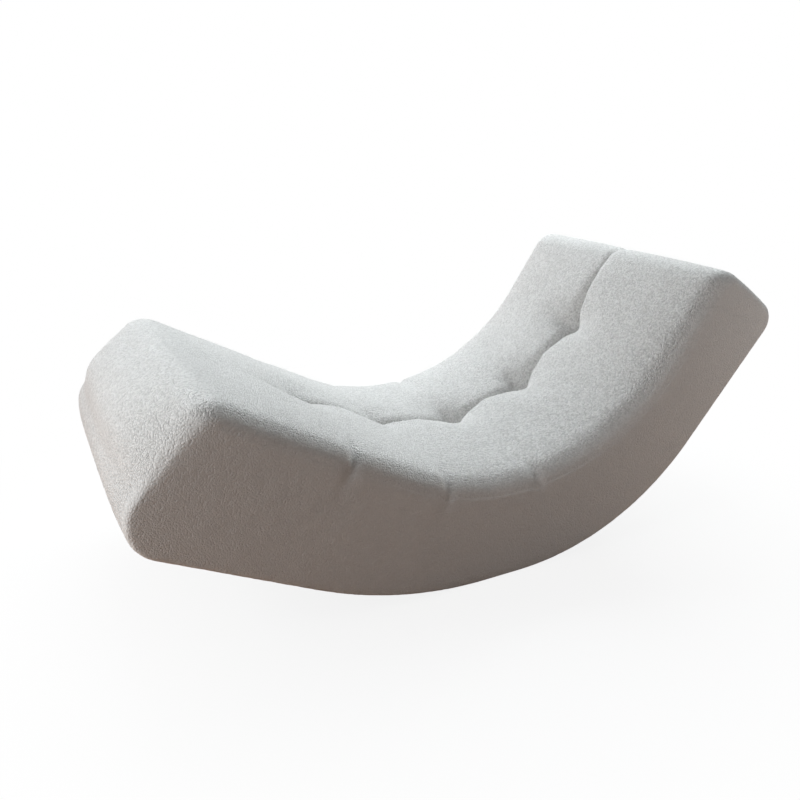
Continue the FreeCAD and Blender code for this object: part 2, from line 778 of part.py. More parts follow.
def tuft_toggle(t, holes):
    """Round two-hole toggle under the deck."""
    up = left_of(SEAT.frame(t)[1])
    foot = tie_line(t, 0.0, toggle_top() - TOGGLE_THICK)
    return Part.makeCylinder(TOGGLE / 2, TOGGLE_THICK, foot, up).cut(holes)


def build():
    """Every node of the lounge by name."""
    outer = padded_half(0.0)
    shell = outer.cut(padded_half(COVER))
    padding = padded_half(COVER + LAYER_GAP)
    notches = rail_notches()
    right_holes = Part.makeCompound(rail_screws(SCREW_PLAY))
    left_holes = mirrored(right_holes)
    screws = rail_screws()
    holes = tie_holes()
    nodes = {
        "top_cover": top_cover(shell),
        "base_cloth": base_cloth(),
        "seat_foam": seat_foam(padding),
        "foot_end_pad": foot_end_pad(padding),
        "head_end_pad": head_end_pad(padding),
        "base_felt": base_felt(),
        "seat_deck": seat_deck(),
        "base_skin": base_skin(),
        "foot_board": end_board(True),
        "head_board": end_board(False),
        "corner_blocks": corner_blocks(notches),
        "rail_screws": Part.makeCompound(screws + [mirrored(one) for one in screws]),
        "base_staples": staples(),
        "tuft_ties": Part.makeCompound([tuft_tie(t) for t in TUFTS]),
        "tuft_toggles": Part.makeCompound([tuft_toggle(t, holes) for t in TUFTS]),
    }
    pairs = {
        "side_cover": side_cover(shell, outer),
        "side_pad": side_pad(padding),
        "side_frame": side_frame(right_holes),
        "inner_rib": inner_rib(notches),
    }
    for name, shape in pairs.items():
        nodes[name + "_right"] = shape
        nodes[name + "_left"] = mirrored(shape)
    for name, track, s, up in rail_places():
        nodes[name] = rail(track, s, up).cut(right_holes).cut(left_holes)
    return nodes


if __name__ == "__main__":
    os.makedirs("parts", exist_ok=True)
    for node, solid in build().items():
        solid.exportStep("parts/" + node + ".step")
        print(node, solid.isValid(), len(solid.Solids), round(solid.Volume / 1000, 1))
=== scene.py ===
"""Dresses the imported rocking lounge: bouclé covers with sewn tufts, padding, finishes, studio."""
import logging
import math
from collections.abc import Sequence
from dataclasses import dataclass, field
from enum import Enum

import bpy
import numpy as np
from mathutils import Euler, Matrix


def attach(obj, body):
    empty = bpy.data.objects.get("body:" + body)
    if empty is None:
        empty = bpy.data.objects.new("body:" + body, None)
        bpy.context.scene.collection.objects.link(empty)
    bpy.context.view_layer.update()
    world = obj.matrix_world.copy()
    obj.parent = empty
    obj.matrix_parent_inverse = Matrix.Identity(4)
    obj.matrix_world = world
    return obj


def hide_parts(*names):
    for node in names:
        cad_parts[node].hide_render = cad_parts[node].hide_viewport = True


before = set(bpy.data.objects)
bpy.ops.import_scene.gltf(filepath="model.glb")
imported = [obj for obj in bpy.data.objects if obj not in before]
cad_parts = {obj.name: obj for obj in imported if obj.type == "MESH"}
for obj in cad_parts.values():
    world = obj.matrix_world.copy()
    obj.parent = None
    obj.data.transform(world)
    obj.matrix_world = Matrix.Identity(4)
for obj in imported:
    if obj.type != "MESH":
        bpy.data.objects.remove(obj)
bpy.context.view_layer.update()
LOG = logging.getLogger("rocking_lounge")
Array = np.ndarray
Colour = tuple[float, float, float]
Socket = bpy.types.NodeSocket
BODY = "root"
WHITE = (1.0, 1.0, 1.0, 1.0)
NOISE_TABLE = 1 << 12
NOISE_STRIDES = (73856093, 19349663, 83492791)
TINY = 1e-12


class Panel(Enum):
    """Sewn panels of the covers, in the order of their material index while they are one skin."""

    TOP = 0
    LEFT = 1
    RIGHT = 2
    OPEN = 3


class Axis(Enum):
    """Direction in space, also of the grain or of the plies."""

    X = 0
    Y = 1
    Z = 2


def steps_at(x: Array, stations: Sequence[float]) -> tuple[Array, Array, Array]:
    """Station before each place, the step from it to the next, and the share of that step."""
    at = np.asarray(stations, float)
    i = np.clip(np.searchsorted(at, x, side="right") - 1, 0, len(at) - 2)
    step = at[i + 1] - at[i]
    return i, step, np.clip((x - at[i]) / step, 0.0, 1.0)


def smooth_between(x: Array, stations: Sequence[float], values: Sequence[float]) -> Array:
    """Value that eases from each station to the next along a smoothstep.

    Args:
        x: Places to read.
        stations: Rising places whose values are known.
        values: Values at the stations.

    Returns:
        Values at the places, held level outside the first and last station.
    """
    i, _, t = steps_at(x, stations)
    of = np.asarray(values, float)
    return of[i] + (of[i + 1] - of[i]) * t * t * (3 - 2 * t)


def curve_between(x: Array, stations: Sequence[float], values: Sequence[float]) -> Array:
    """Smooth curve through known values: cubics with the slope of each station's neighbours.

    Args:
        x: Places to read.
        stations: Rising places whose values are known.
        values: Values at the stations.

    Returns:
        Values at the places, held level outside the first and last station.
    """
    i, step, t = steps_at(x, stations)
    at, of = np.asarray(stations, float), np.asarray(values, float)
    slope = np.zeros(len(at))
    slope[1:-1] = (of[2:] - of[:-2]) / (at[2:] - at[:-2])
    rise = t * t * (3 - 2 * t)
    lead = step * t * (1 - t) * ((1 - t) * slope[i] - t * slope[i + 1])
    return of[i] * (1 - rise) + of[i + 1] * rise + lead


def falls(share: Array, power: float) -> Array:
    """Fall from 1 at no share to 0 at the full share, as a power of what is left."""
    return np.clip(1 - share, 0.0, 1.0) ** power


def soft_noise(points: Array, period: float, seed: int) -> Array:
    """Smooth random field: a random number at each corner of a cubic lattice, eased between.

    Args:
        points: Places, n by 3, in metres.
        period: Side of a lattice cell in metres.
        seed: Picks the random numbers.

    Returns:
        One value from -1 to 1 for each place.
    """
    table = np.random.default_rng(seed).uniform(-1.0, 1.0, NOISE_TABLE)
    cell = np.floor(points / period).astype(np.int64)
    part = points / period - cell
    ease = part * part * (3 - 2 * part)
    total = np.zeros(len(points))
    for corner in np.ndindex(2, 2, 2):
        spot = cell + np.array(corner)
        key = (spot * np.array(NOISE_STRIDES)).sum(axis=1) % NOISE_TABLE
        weight = np.where(np.array(corner) == 1, ease, 1 - ease).prod(axis=1)
        total += weight * table[key]
    return total


@dataclass(frozen=True)
class SideOutline:
    """Closed side outline of the lounge, as straight runs and arcs, in metres and degrees.

    The walk goes from the foot heel up the foot end, over the foot fold, along the seat to the
    head fold, down the head end, round the head heel and back along the rocking base.
    """

    half_width: float = 0.350
    rest_strip: float = 0.090
    base_foot_radius: float = 0.885
    base_foot_angle: float = 26.7
    base_head_radius: float = 0.628
    base_head_angle: float = 50.3
    seat_low: tuple[float, float] = (0.022, 0.242)
    seat_radius: float = 0.515
    seat_foot_angle: float = 28.6
    seat_head_angle: float = 55.6
    foot_run: float = 0.454
    head_run: float = 0.227
    foot_slope: float = 49.0
    head_slope: float = 35.5
    foot_heel: float = 0.080
    foot_fold: float = 0.050
    head_fold: float = 0.055
    head_heel: float = 0.045

    @staticmethod
    def heading(degrees: float) -> Array:
        """Unit vector in the side plane at an angle above +X."""
        return np.array([math.cos(math.radians(degrees)), math.sin(math.radians(degrees))])

    @staticmethod
    def meet(p: Array, u: Array, q: Array, v: Array) -> Array:
        """Crossing of the line through p along u with the line through q along v."""
        t, _ = np.linalg.solve(np.column_stack([u, -v]), q - p)
        return p + u * t

    def seat_bend(self, side: int) -> Array:
        """Where the seat's arc turns into its straight run, -1 at the foot and 1 at the head."""
        a = math.radians(self.seat_head_angle if side > 0 else self.seat_foot_angle)
        low = np.array(self.seat_low)
        return low + self.seat_radius * np.array([side * math.sin(a), 1 - math.cos(a)])

    def base_bend(self, side: int) -> Array:
        """Where the base's arc turns into its straight run, -1 at the foot and 1 at the head."""
        a = math.radians(self.base_head_angle if side > 0 else self.base_foot_angle)
        r = self.base_head_radius if side > 0 else self.base_foot_radius
        return np.array([side * (self.rest_strip / 2 + r * math.sin(a)), r * (1 - math.cos(a))])

    def corners(self) -> dict[str, Array]:
        """Sharp corners of the outline before they are rounded."""
        foot_top = self.seat_bend(-1) + self.foot_run * self.heading(180 - self.seat_foot_angle)
        head_top = self.seat_bend(1) + self.head_run * self.heading(self.seat_head_angle)
        foot_base = self.heading(180 - self.base_foot_angle)
        head_base = self.heading(self.base_head_angle)
        foot_end, head_end = self.heading(self.foot_slope), self.heading(-self.head_slope)
        return {
            "foot_top": foot_top,
            "head_top": head_top,
            "foot_heel": self.meet(foot_top, foot_end, self.base_bend(-1), foot_base),
            "head_heel": self.meet(head_top, head_end, self.base_bend(1), head_base),
        }

    def turns(self) -> dict[str, float]:
        """Degrees by which the walk turns at each rounded corner."""
        return {
            "foot_heel": self.foot_slope - (180 - self.base_foot_angle),
            "foot_fold": -self.seat_foot_angle - self.foot_slope,
            "head_fold": -self.head_slope - self.seat_head_angle,
            "head_heel": self.base_head_angle - 180 + self.head_slope,
        }

    def walk(self) -> "Walk":
        """The outline as one walk of runs and arcs.

        Each corner of radius r that turns by a takes r tan(a / 2) off the runs beside it.

        Returns:
            The walk, with named marks along it.
        """
        at = self.corners()
        turn = self.turns()
        radius = {name: getattr(self, name) for name in turn}
        cut = {n: radius[n] * math.tan(math.radians(abs(turn[n]) / 2)) for n in turn}
        foot_end = np.linalg.norm(at["foot_top"] - at["foot_heel"])
        head_end = np.linalg.norm(at["head_top"] - at["head_heel"])
        base_foot = np.linalg.norm(at["foot_heel"] - self.base_bend(-1))
        base_head = np.linalg.norm(at["head_heel"] - self.base_bend(1))
        legs = [
            ("foot_heel", radius["foot_heel"], turn["foot_heel"]),
            ("foot_end", foot_end - cut["foot_heel"] - cut["foot_fold"], 0.0),
            ("foot_fold", radius["foot_fold"], turn["foot_fold"]),
            ("calf", self.foot_run - cut["foot_fold"], 0.0),
            ("seat_foot", self.seat_radius, self.seat_foot_angle),
            ("seat_head", self.seat_radius, self.seat_head_angle),
            ("back", self.head_run - cut["head_fold"], 0.0),
            ("head_fold", radius["head_fold"], turn["head_fold"]),
            ("head_end", head_end - cut["head_fold"] - cut["head_heel"], 0.0),
            ("head_heel", radius["head_heel"], turn["head_heel"]),
            ("base_back", base_head - cut["head_heel"], 0.0),
            ("base_head", self.base_head_radius, -self.base_head_angle),
            ("rest", self.rest_strip, 0.0),
            ("base_foot", self.base_foot_radius, -self.base_foot_angle),
            ("base_calf", base_foot - cut["foot_heel"], 0.0),
        ]
        start = at["foot_heel"] + cut["foot_heel"] * self.heading(-self.base_foot_angle)
        return Walk(legs, start, 180 - self.base_foot_angle)


class Walk:
    """Closed walk of runs and arcs in the side plane, read by distance along it."""

    def __init__(self, legs: list[tuple[str, float, float]], start: Array, heading: float) -> None:
        """Lay the legs end to end.

        Args:
            legs: Name, run length or arc radius, and turn in degrees, where none is a straight run.
            start: First point.
            heading: First direction in degrees.
        """
        self.begin: dict[str, float] = {}
        self.finish: dict[str, float] = {}
        rows = []
        point = np.array(start, float)
        angle = math.radians(heading)
        along = 0.0
        for name, size, turn in legs:
            sweep = math.radians(turn)
            length = size * abs(sweep) if turn else size
            bend = sweep / length
            rows.append((along, point[0], point[1], angle, bend))
            self.begin[name] = along
            along += length
            self.finish[name] = along
            point = point + self.step(np.array([length]), np.array([angle]), np.array([bend]))[0]
            angle += sweep
        self.rows = np.array(rows)
        self.length = along

    @staticmethod
    def step(t: Array, angle: Array, bend: Array) -> Array:
        """Move after a distance t with an even bend: chord of the arc, or the run itself."""
        half = t * bend / 2
        chord = t * np.sinc(half / np.pi)
        return np.stack([chord * np.cos(angle + half), chord * np.sin(angle + half)], axis=-1)

    def middle(self, name: str) -> float:
        """Distance at the middle of a named leg."""
        return (self.begin[name] + self.finish[name]) / 2

    def place(self, along: Array) -> tuple[Array, Array]:
        """Points and outward normals at distances along the walk.

        Args:
            along: Distances, taken round the closed walk.

        Returns:
            Points and unit normals, each with x and z in the last axis.
        """
        along = np.mod(along, self.length)
        row = self.rows[np.searchsorted(self.rows[:, 0], along, side="right") - 1]
        t = along - row[..., 0]
        point = row[..., 1:3] + self.step(t, row[..., 3], row[..., 4])
        angle = row[..., 3] + t * row[..., 4]
        return point, np.stack([-np.sin(angle), np.cos(angle)], axis=-1)


@dataclass(frozen=True)
class PaddingForm:
    """Height of the padded covers over the side outline, in metres, with shares and powers.

    Rows of five values are the tufts' own, from the head to the foot.
    """

    outline: SideOutline = field(default_factory=SideOutline)
    crown: float = 0.035
    head_crown: float = 0.017
    foot_crown: float = 0.004
    crown_power: float = 2.4
    channel: float = 0.003
    channel_reach: float = 0.036
    channel_power: float = 3.6
    channel_ease: float = 0.56
    tuft_head_margin: float = 0.2588
    tuft_foot_margin: float = 0.3181
    tuft_pulls: tuple[float, ...] = (0.025, 0.038, 0.033, 0.014, 0.024)
    tuft_reach: float = 0.155
    tuft_fall: float = 2.2
    tuft_run: float = 1.4
    patch_long: float = 0.004
    head_notch: float = 0.006
    head_fade: float = 1.8
    foot_fade: float = 2.0
    foot_run_out: float = 0.60
    foot_dip: float = 0.004
    foot_dip_reach: float = 0.160
    foot_dip_power: int = 2
    pinch: float = 0.026
    pinch_shares: tuple[float, ...] = (0.9, 1.0, 1.0, 0.5, 0.4)
    pinch_long: float = 0.024
    pinch_wide: float = 0.036
    pull_line: float = 0.0002
    pull_width: float = 0.012
    edge_notch: float = 0.012
    edge_fade: tuple[float, float] = (0.78, 0.95)
    edge_dent: float = 0.004
    dent_fall: float = 0.030
    notch_shares: tuple[float, ...] = (0.0, 0.1, 1.0, 0.9, 0.9)
    notch_leans: tuple[float, ...] = (0.0, 0.0, 0.019, 0.017, 0.0)
    crease: float = 0.0035
    crease_length: float = 0.090
    crease_peak: float = 0.3
    crease_width: float = 0.009
    crease_angle: float = 16.0
    crease_lean: float = 9.0
    crease_shares: tuple[float, float] = (0.35, 1.0)
    share_seed: int = 5
    lean_seed: int = 6
    foot_bulge: float = 0.053
    foot_profile: tuple[float, ...] = (0.0, 0.41, 1.0, 0.90, 0.55, 0.24, 0.0)
    head_bulge: float = 0.006
    head_profile: tuple[float, ...] = (0.0, 0.4, 1.0, 0.4, 0.0)
    bulge_power: float = 4.0
    top_edge: float = 0.038
    end_edge: float = 0.019
    heel_edge: float = 0.012
    base_edge: float = 0.010

    def seat_limits(self) -> tuple[float, float]:
        """Seat distances of the sharp foot and head corners from the seat's low point."""
        o = self.outline
        foot = -o.seat_radius * math.radians(o.seat_foot_angle) - o.foot_run
        head = o.seat_radius * math.radians(o.seat_head_angle) + o.head_run
        return foot, head

    def tufts(self) -> Array:
        """Seat distances of the tufts, from the head to the foot."""
        foot, head = self.seat_limits()
        first, last = head - self.tuft_head_margin, foot + self.tuft_foot_margin
        return np.linspace(first, last, len(self.tuft_pulls))

    def nearest(self, s: Array) -> tuple[Array, Array]:
        """Number of the nearest tuft, and the seat distance from it."""
        tufts = self.tufts()
        number = np.abs(s[..., None] - tufts).argmin(axis=-1)
        return number, s - tufts[number]

    def edge_radius(self, walk: Walk, along: Array) -> Array:
        """Rounding from the wrapped cover to the sides: soft on top, tight along the base."""
        stations = [
            0.0, walk.finish["foot_heel"], walk.middle("foot_end"), walk.finish["foot_fold"],
            walk.begin["head_fold"], walk.middle("head_end"), walk.begin["head_heel"],
            walk.finish["head_heel"], walk.length,
        ]
        top, end, heel, base = self.top_edge, self.end_edge, self.heel_edge, self.base_edge
        values = [base, heel, end, top, top, end, end, base, base]
        return smooth_between(np.mod(along, walk.length), stations, values)

    def seat_share(self, s: Array) -> tuple[Array, Array]:
        """Shares, 0 to 1, of the way from the first tuft to the head and the last to the foot."""
        foot, head = self.seat_limits()
        first, last = self.tufts()[0], self.tufts()[-1]
        to_head = np.clip((s - first) / (head - first), 0.0, 1.0)
        to_foot = np.clip((last - s) / (last - foot), 0.0, 1.0)
        return to_head, to_foot

    def gathers(self, s: Array, y: Array) -> Array:
        """Depth of the cloth's gathers: a pinch, a pull line and slanted creases from each tuft.

        The pinch is a bell along and across the channel. The pull line runs straight across to the
        side edge and deepens into a notch there. A crease is a bell across a ray from the tuft,
        which fades in past the stitch and out along the ray. Each crease has its own depth.

        Args:
            s: Seat distances from the low point, towards the head.
            y: Distances across from the middle.

        Returns:
            Depths square to the seat line.
        """
        half = self.outline.half_width
        across = np.abs(y)
        nearest, off = self.nearest(s)
        at_edge = smooth_between(across, [share * half for share in self.edge_fade], [0.0, 1.0])
        slant = off - np.array(self.notch_leans)[nearest] * across / half
        notch = self.edge_notch * np.array(self.notch_shares)[nearest]
        line = np.exp(-(slant / self.pull_width) ** 2)
        line = line * (self.pull_line + (notch - self.pull_line) * at_edge)
        pinch = self.pinch * np.array(self.pinch_shares)[nearest]
        bell = np.exp(-(off / self.pinch_long) ** 2 - (across / self.pinch_wide) ** 2)
        total = line + pinch * bell
        rays = (len(self.tuft_pulls), 2, 2)
        share = np.random.default_rng(self.share_seed).uniform(*self.crease_shares, rays)
        spread = self.crease_lean
        lean = np.random.default_rng(self.lean_seed).uniform(-spread, spread, rays)
        side = (y > 0).astype(int)
        stations = [0.0, self.crease_peak * self.crease_length, self.crease_length]
        for i, way in enumerate((1, -1)):
            angle = np.radians(way * self.crease_angle + lean[nearest, side, i])
            out = across * np.cos(angle) + off * np.sin(angle)
            beside = off * np.cos(angle) - across * np.sin(angle)
            run = smooth_between(out, stations, [0.0, 1.0, 0.0])
            bell = np.exp(-(beside / self.crease_width) ** 2)
            total = total + self.crease * share[nearest, side, i] * run * bell
        return total

    def seat_height(self, s: Array, y: Array) -> Array:
        """Rise of the seat cover: a wide crown less the sewn valley, the tufts' pull, the gathers.

        The crown falls off across the seat with a power, and is full between the first two tufts
        and lower towards either end. The valley goes down through the crown to just under the seat
        line at the tufts, is narrow and steep, eases between the tufts by a squared sine, and runs
        out towards the foot into a wide shallow dip. Each tuft pulls by its own depth, which falls
        off with powers of the distances along and across the seat.

        Args:
            s: Seat distances from the low point, towards the head.
            y: Distances across from the middle.

        Returns:
            Heights square to the seat line.
        """
        across = np.abs(y)
        foot, head = self.seat_limits()
        tufts = self.tufts()
        pitch = tufts[0] - tufts[1]
        nearest, off = self.nearest(s)
        to_head, to_foot = self.seat_share(s)
        rise = np.interp(s, [foot, tufts[1], tufts[0], head],
                         [self.foot_crown, self.crown, self.crown, self.head_crown])
        crown = rise * (1 - (across / self.outline.half_width) ** self.crown_power)
        depth = (self.channel + rise) * falls(to_foot / self.foot_run_out, self.foot_fade)
        depth = depth * (1 - to_head) ** self.head_fade + self.head_notch * to_head
        midway = np.where(to_head + to_foot > 0, 0.0, np.sin(math.pi * off / pitch) ** 2)
        depth = depth * (1 - self.channel_ease * midway)
        valley = depth * falls(across / self.channel_reach, self.channel_power)
        dip = falls(across / self.foot_dip_reach, self.foot_dip_power)
        valley = valley + self.foot_dip * to_foot * dip
        past = np.clip(np.abs(off) - self.patch_long, 0, None)
        pull = np.array(self.tuft_pulls)[nearest] * falls(2 * past / pitch, self.tuft_run)
        pull = pull * falls(across / self.tuft_reach, self.tuft_fall)
        return crown - valley - pull - self.gathers(s, y)

    def dents(self, s: Array) -> Array:
        """How far the side is drawn in below each edge notch."""
        off = (s[..., None] - self.tufts() - np.array(self.notch_leans)) / self.pull_width
        return self.edge_dent * (np.array(self.notch_shares) * np.exp(-off ** 2)).sum(axis=-1)

    def height(self, walk: Walk, along: Array, y: Array) -> Array:
        """Rise of the cover over the whole outline.

        Args:
            walk: Side outline.
            along: Distances along it.
            y: Distances across from the middle.

        Returns:
            Heights square to the outline: the seat's, eased over the folds into each end's bulge.
        """
        along = np.mod(along, walk.length)
        share = np.abs(y) / self.outline.half_width
        begin, finish = walk.begin, walk.finish
        folds = [begin["foot_fold"], finish["foot_fold"], begin["head_fold"], finish["head_fold"]]
        on_seat = smooth_between(along, folds, [0.0, 1.0, 1.0, 0.0])
        low, high = begin["foot_end"], finish["foot_end"]
        thirds = [low + (high - low) / 3, low + (high - low) * 2 / 3]
        foot = [0.0, low, *thirds, high, walk.middle("foot_fold"), finish["foot_fold"]]
        head = [*folds[2:], walk.middle("head_end"), begin["head_heel"], finish["head_heel"]]
        foot_bulge = self.foot_bulge * curve_between(along, foot, self.foot_profile)
        head_bulge = self.head_bulge * curve_between(along, head, self.head_profile)
        seat = self.seat_height(along - begin["seat_head"], y)
        return seat * on_seat + (foot_bulge + head_bulge) * (1 - share ** self.bulge_power)


class MeshMaker:
    """Puts whole arrays into Blender meshes and reads them back."""

    @staticmethod
    def make(name: str, points: Array, faces: Array, smooth: bool = True) -> bpy.types.Object:
        """New mesh object at the origin.

        Args:
            name: Object's name.
            points: Vertices, n by 3, in metres.
            faces: Quads, m by 4, as vertex numbers.
            smooth: Whether faces are shaded smooth.

        Returns:
            The object, linked to the scene.
        """
        mesh = bpy.data.meshes.new(name)
        mesh.vertices.add(len(points))
        mesh.vertices.foreach_set("co", np.ascontiguousarray(points, np.float32).ravel())
        mesh.loops.add(faces.size)
        mesh.loops.foreach_set("vertex_index", np.ascontiguousarray(faces, np.int32).ravel())
        mesh.polygons.add(len(faces))
        mesh.polygons.foreach_set("loop_start", np.arange(0, faces.size, 4, dtype=np.int32))
        mesh.polygons.foreach_set("use_smooth", np.full(len(faces), smooth))
        mesh.update(calc_edges=True)
        obj = bpy.data.objects.new(name, mesh)
        bpy.context.scene.collection.objects.link(obj)
        return obj

    @staticmethod
    def get(items: bpy.types.bpy_prop_collection, key: str, kind: type, width: int = 1) -> Array:
        """One property of all of a mesh's items, width numbers each."""
        values = np.empty(len(items) * width, kind)
        items.foreach_get(key, values)
        return values

    @classmethod
    def read(cls, mesh: bpy.types.Mesh) -> tuple[Array, Array, Array]:
        """Vertices, quads and material indices of an all-quad mesh."""
        points = cls.get(mesh.vertices, "co", np.float32, 3).reshape(-1, 3).astype(float)
        corners = cls.get(mesh.loops, "vertex_index", np.int32).reshape(-1, 4)
        return points, corners, cls.get(mesh.polygons, "material_index", np.int32)

    @staticmethod
    def evaluated(obj: bpy.types.Object) -> bpy.types.Mesh:
        """New mesh of an object with its modifiers applied."""
        graph = bpy.context.evaluated_depsgraph_get()
        return bpy.data.meshes.new_from_object(obj.evaluated_get(graph))

    @staticmethod
    def discard(obj: bpy.types.Object, made: bpy.types.Mesh) -> None:
        """Remove an object, its mesh and the mesh that was made from it."""
        own = obj.data
        bpy.data.objects.remove(obj)
        for mesh in (own, made):
            bpy.data.meshes.remove(mesh)

    @staticmethod
    def lift(flat: Array, y: Array | float) -> Array:
        """Points in space from x and z in the side plane and distances across."""
        shape = np.broadcast_shapes(flat.shape[:-1], np.shape(y))
        parts = (flat[..., 0], y, flat[..., 1])
        return np.stack([np.broadcast_to(part, shape) for part in parts], axis=-1)

    @staticmethod
    def quads(ids: Array) -> Array:
        """Quads between the numbers of a grid, rows by columns by 4."""
        return np.stack([ids[:-1, :-1], ids[:-1, 1:], ids[1:, 1:], ids[1:, :-1]], axis=-1)

    @classmethod
    def ring(cls, rows: int, columns: int) -> Array:
        """Quads of a grid that is open across its rows and closed round its columns."""
        ids = np.arange(rows * columns).reshape(rows, columns)
        return cls.quads(np.concatenate([ids, ids[:, :1]], axis=1)).reshape(-1, 4)

    @staticmethod
    def patch(bottom: Array, top: Array, left: Array, right: Array) -> Array:
        """Surface between four lines: both ruled surfaces, less the one through the corners.

        Args:
            bottom: Points along the bottom.
            top: Points along the top, as many.
            left: Points up the left.
            right: Points up the right, as many.

        Returns:
            Points, up by along.
        """
        a = np.linspace(0.0, 1.0, len(top))[None, :, None]
        b = np.linspace(0.0, 1.0, len(left))[:, None, None]
        ruled = (1 - b) * bottom[None] + b * top[None]
        ruled = ruled + (1 - a) * left[:, None] + a * right[:, None]
        low = (1 - a) * bottom[0] + a * bottom[-1]
        high = (1 - a) * top[0] + a * top[-1]
        return ruled - ((1 - b) * low + b * high)

    @staticmethod
    def block(cells: tuple[int, int, int]) -> tuple[Array, Array]:
        """Closed skin of a block of cells.

        Args:
            cells: Number of cells along, across and through.

        Returns:
            Places of the skin's vertices in the block, n by 3 as whole numbers, and outward quads.
        """
        full = np.arange(np.prod(np.array(cells) + 1)).reshape(np.array(cells) + 1)
        faces = []
        for axis in range(3):
            for end in (0, -1):
                ids = np.take(full, end, axis=axis)
                quad = np.stack([ids[:-1, :-1], ids[1:, :-1], ids[1:, 1:], ids[:-1, 1:]], axis=-1)
                quad = quad.reshape(-1, 4)
                faces.append(quad if (end == -1) != (axis == 1) else quad[:, ::-1])
        used, where = np.unique(np.concatenate(faces), return_inverse=True)
        return np.stack(np.unravel_index(used, full.shape), axis=-1), where.reshape(-1, 4)

    @classmethod
    def layer(cls, name: str, inner: Array, outer: Array, cells: int,
              turned: bool = False) -> bpy.types.Object:
        """Closed slab between two grids of points.

        Args:
            name: Object's name.
            inner: Inner face's points, along by across by 3.
            outer: Outer face's points, along by across by 3.
            cells: Number of cells through the slab.
            turned: Whether along, across and outward make a left-handed set.

        Returns:
            The object, with a UV map in metres along and across the outer face's middle lines.
        """
        rows, columns = inner.shape[:2]
        spot, faces = cls.block((rows - 1, columns - 1, cells))
        share = (spot[:, 2] / cells)[:, None]
        at = spot[:, 0], spot[:, 1]
        points = inner[at] * (1 - share) + outer[at] * share
        piece = cls.make(name, points, faces[:, ::-1] if turned else faces)
        lengths = []
        for line in (outer[:, columns // 2], outer[rows // 2]):
            steps = np.linalg.norm(np.diff(line, axis=0), axis=1)
            lengths.append(np.concatenate([[0.0], np.cumsum(steps)]))
        flat = np.stack([lengths[0][spot[:, 0]], lengths[1][spot[:, 1]]], axis=-1)
        corners = cls.get(piece.data.loops, "vertex_index", np.int32)
        layer = piece.data.uv_layers.new(name="flat")
        layer.data.foreach_set("uv", np.ascontiguousarray(flat[corners], np.float32).ravel())
        return piece

    @staticmethod
    def normals(points: Array, faces: Array) -> Array:
        """Vertex normals: the sum of the crossed diagonals of the quads round each vertex."""
        a, b, c, d = (points[faces[:, i]] for i in range(4))
        cross = np.repeat(np.cross(c - a, d - b), 4, axis=0)
        corner = faces.ravel()
        sums = [np.bincount(corner, cross[:, i], len(points)) for i in range(3)]
        total = np.stack(sums, axis=-1)
        return total / np.maximum(np.linalg.norm(total, axis=1, keepdims=True), TINY)


@dataclass(frozen=True)
class Filling:
    """Stuffing that pushes a sewn cover out, run as a short cloth simulation."""

    pressure: float = 4.0
    frames: int = 20
    quality: int = 6
    mass: float = 0.3
    tension: float = 25.0
    bending: float = 4.0
    damping: float = 5.0
    most_move: float = 0.0035
    eases: int = 3

    def simulate(self, cover: bpy.types.Object) -> None:
        """Give a cover with a vertex group named held the simulation, and run it."""
        cloth = cover.modifiers.new("stuffing", "CLOTH")
        rules = {
            "quality": self.quality, "mass": self.mass, "tension_stiffness": self.tension,
            "compression_stiffness": self.tension, "shear_stiffness": self.tension / 3,
            "bending_stiffness": self.bending, "air_damping": self.damping, "use_pressure": True,
            "uniform_pressure_force": self.pressure, "vertex_group_mass": "held",
        }
        for key, value in rules.items():
            setattr(cloth.settings, key, value)
        cloth.settings.effector_weights.gravity = 0.0
        cloth.point_cache.frame_start = 1
        cloth.point_cache.frame_end = self.frames
        for number in range(1, self.frames + 1):
            bpy.context.scene.frame_set(number)

    def push(self, points: Array, held: Array) -> Array:
        """Moves of a ring-shaped cover under the pressure of its stuffing.

        A point moves only square to the cover, by no more than the most that is allowed, and its
        move is eased with the moves of its neighbours.

        Args:
            points: Cover's points, rows across by columns round by 3.
            held: How firmly each point is held, from 0 to 1, rows by columns.

        Returns:
            Moves of the points.
        """
        faces = MeshMaker.ring(*points.shape[:2])
        cover = MeshMaker.make("filling_trial", points.reshape(-1, 3), faces)
        group = cover.vertex_groups.new(name="held")
        for weight in np.unique(held[held > 0]):
            spots = np.flatnonzero(held.ravel() == weight).tolist()
            group.add(spots, float(weight), "REPLACE")
        self.simulate(cover)
        pushed = MeshMaker.evaluated(cover)
        moved = MeshMaker.get(pushed.vertices, "co", np.float32, 3).reshape(points.shape)
        MeshMaker.discard(cover, pushed)
        bpy.context.scene.frame_set(1)
        normal = MeshMaker.normals(points.reshape(-1, 3), faces).reshape(points.shape)
        out = ((moved - points) * normal).sum(axis=-1)
        LOG.info("filling: mean move %.1f mm, most %.1f mm",
                 1e3 * out.mean(), 1e3 * np.abs(out).max())
        out = np.clip(out, -self.most_move, self.most_move)
        for _ in range(self.eases):
            by_row, by_column = (
                (np.roll(out, 1, axis=axis) + np.roll(out, -1, axis=axis)) / 2 for axis in (0, 1)
            )
            out = np.where(held >= 1.0, out, (2 * out + by_row + by_column) / 4)
        return normal * out[..., None]


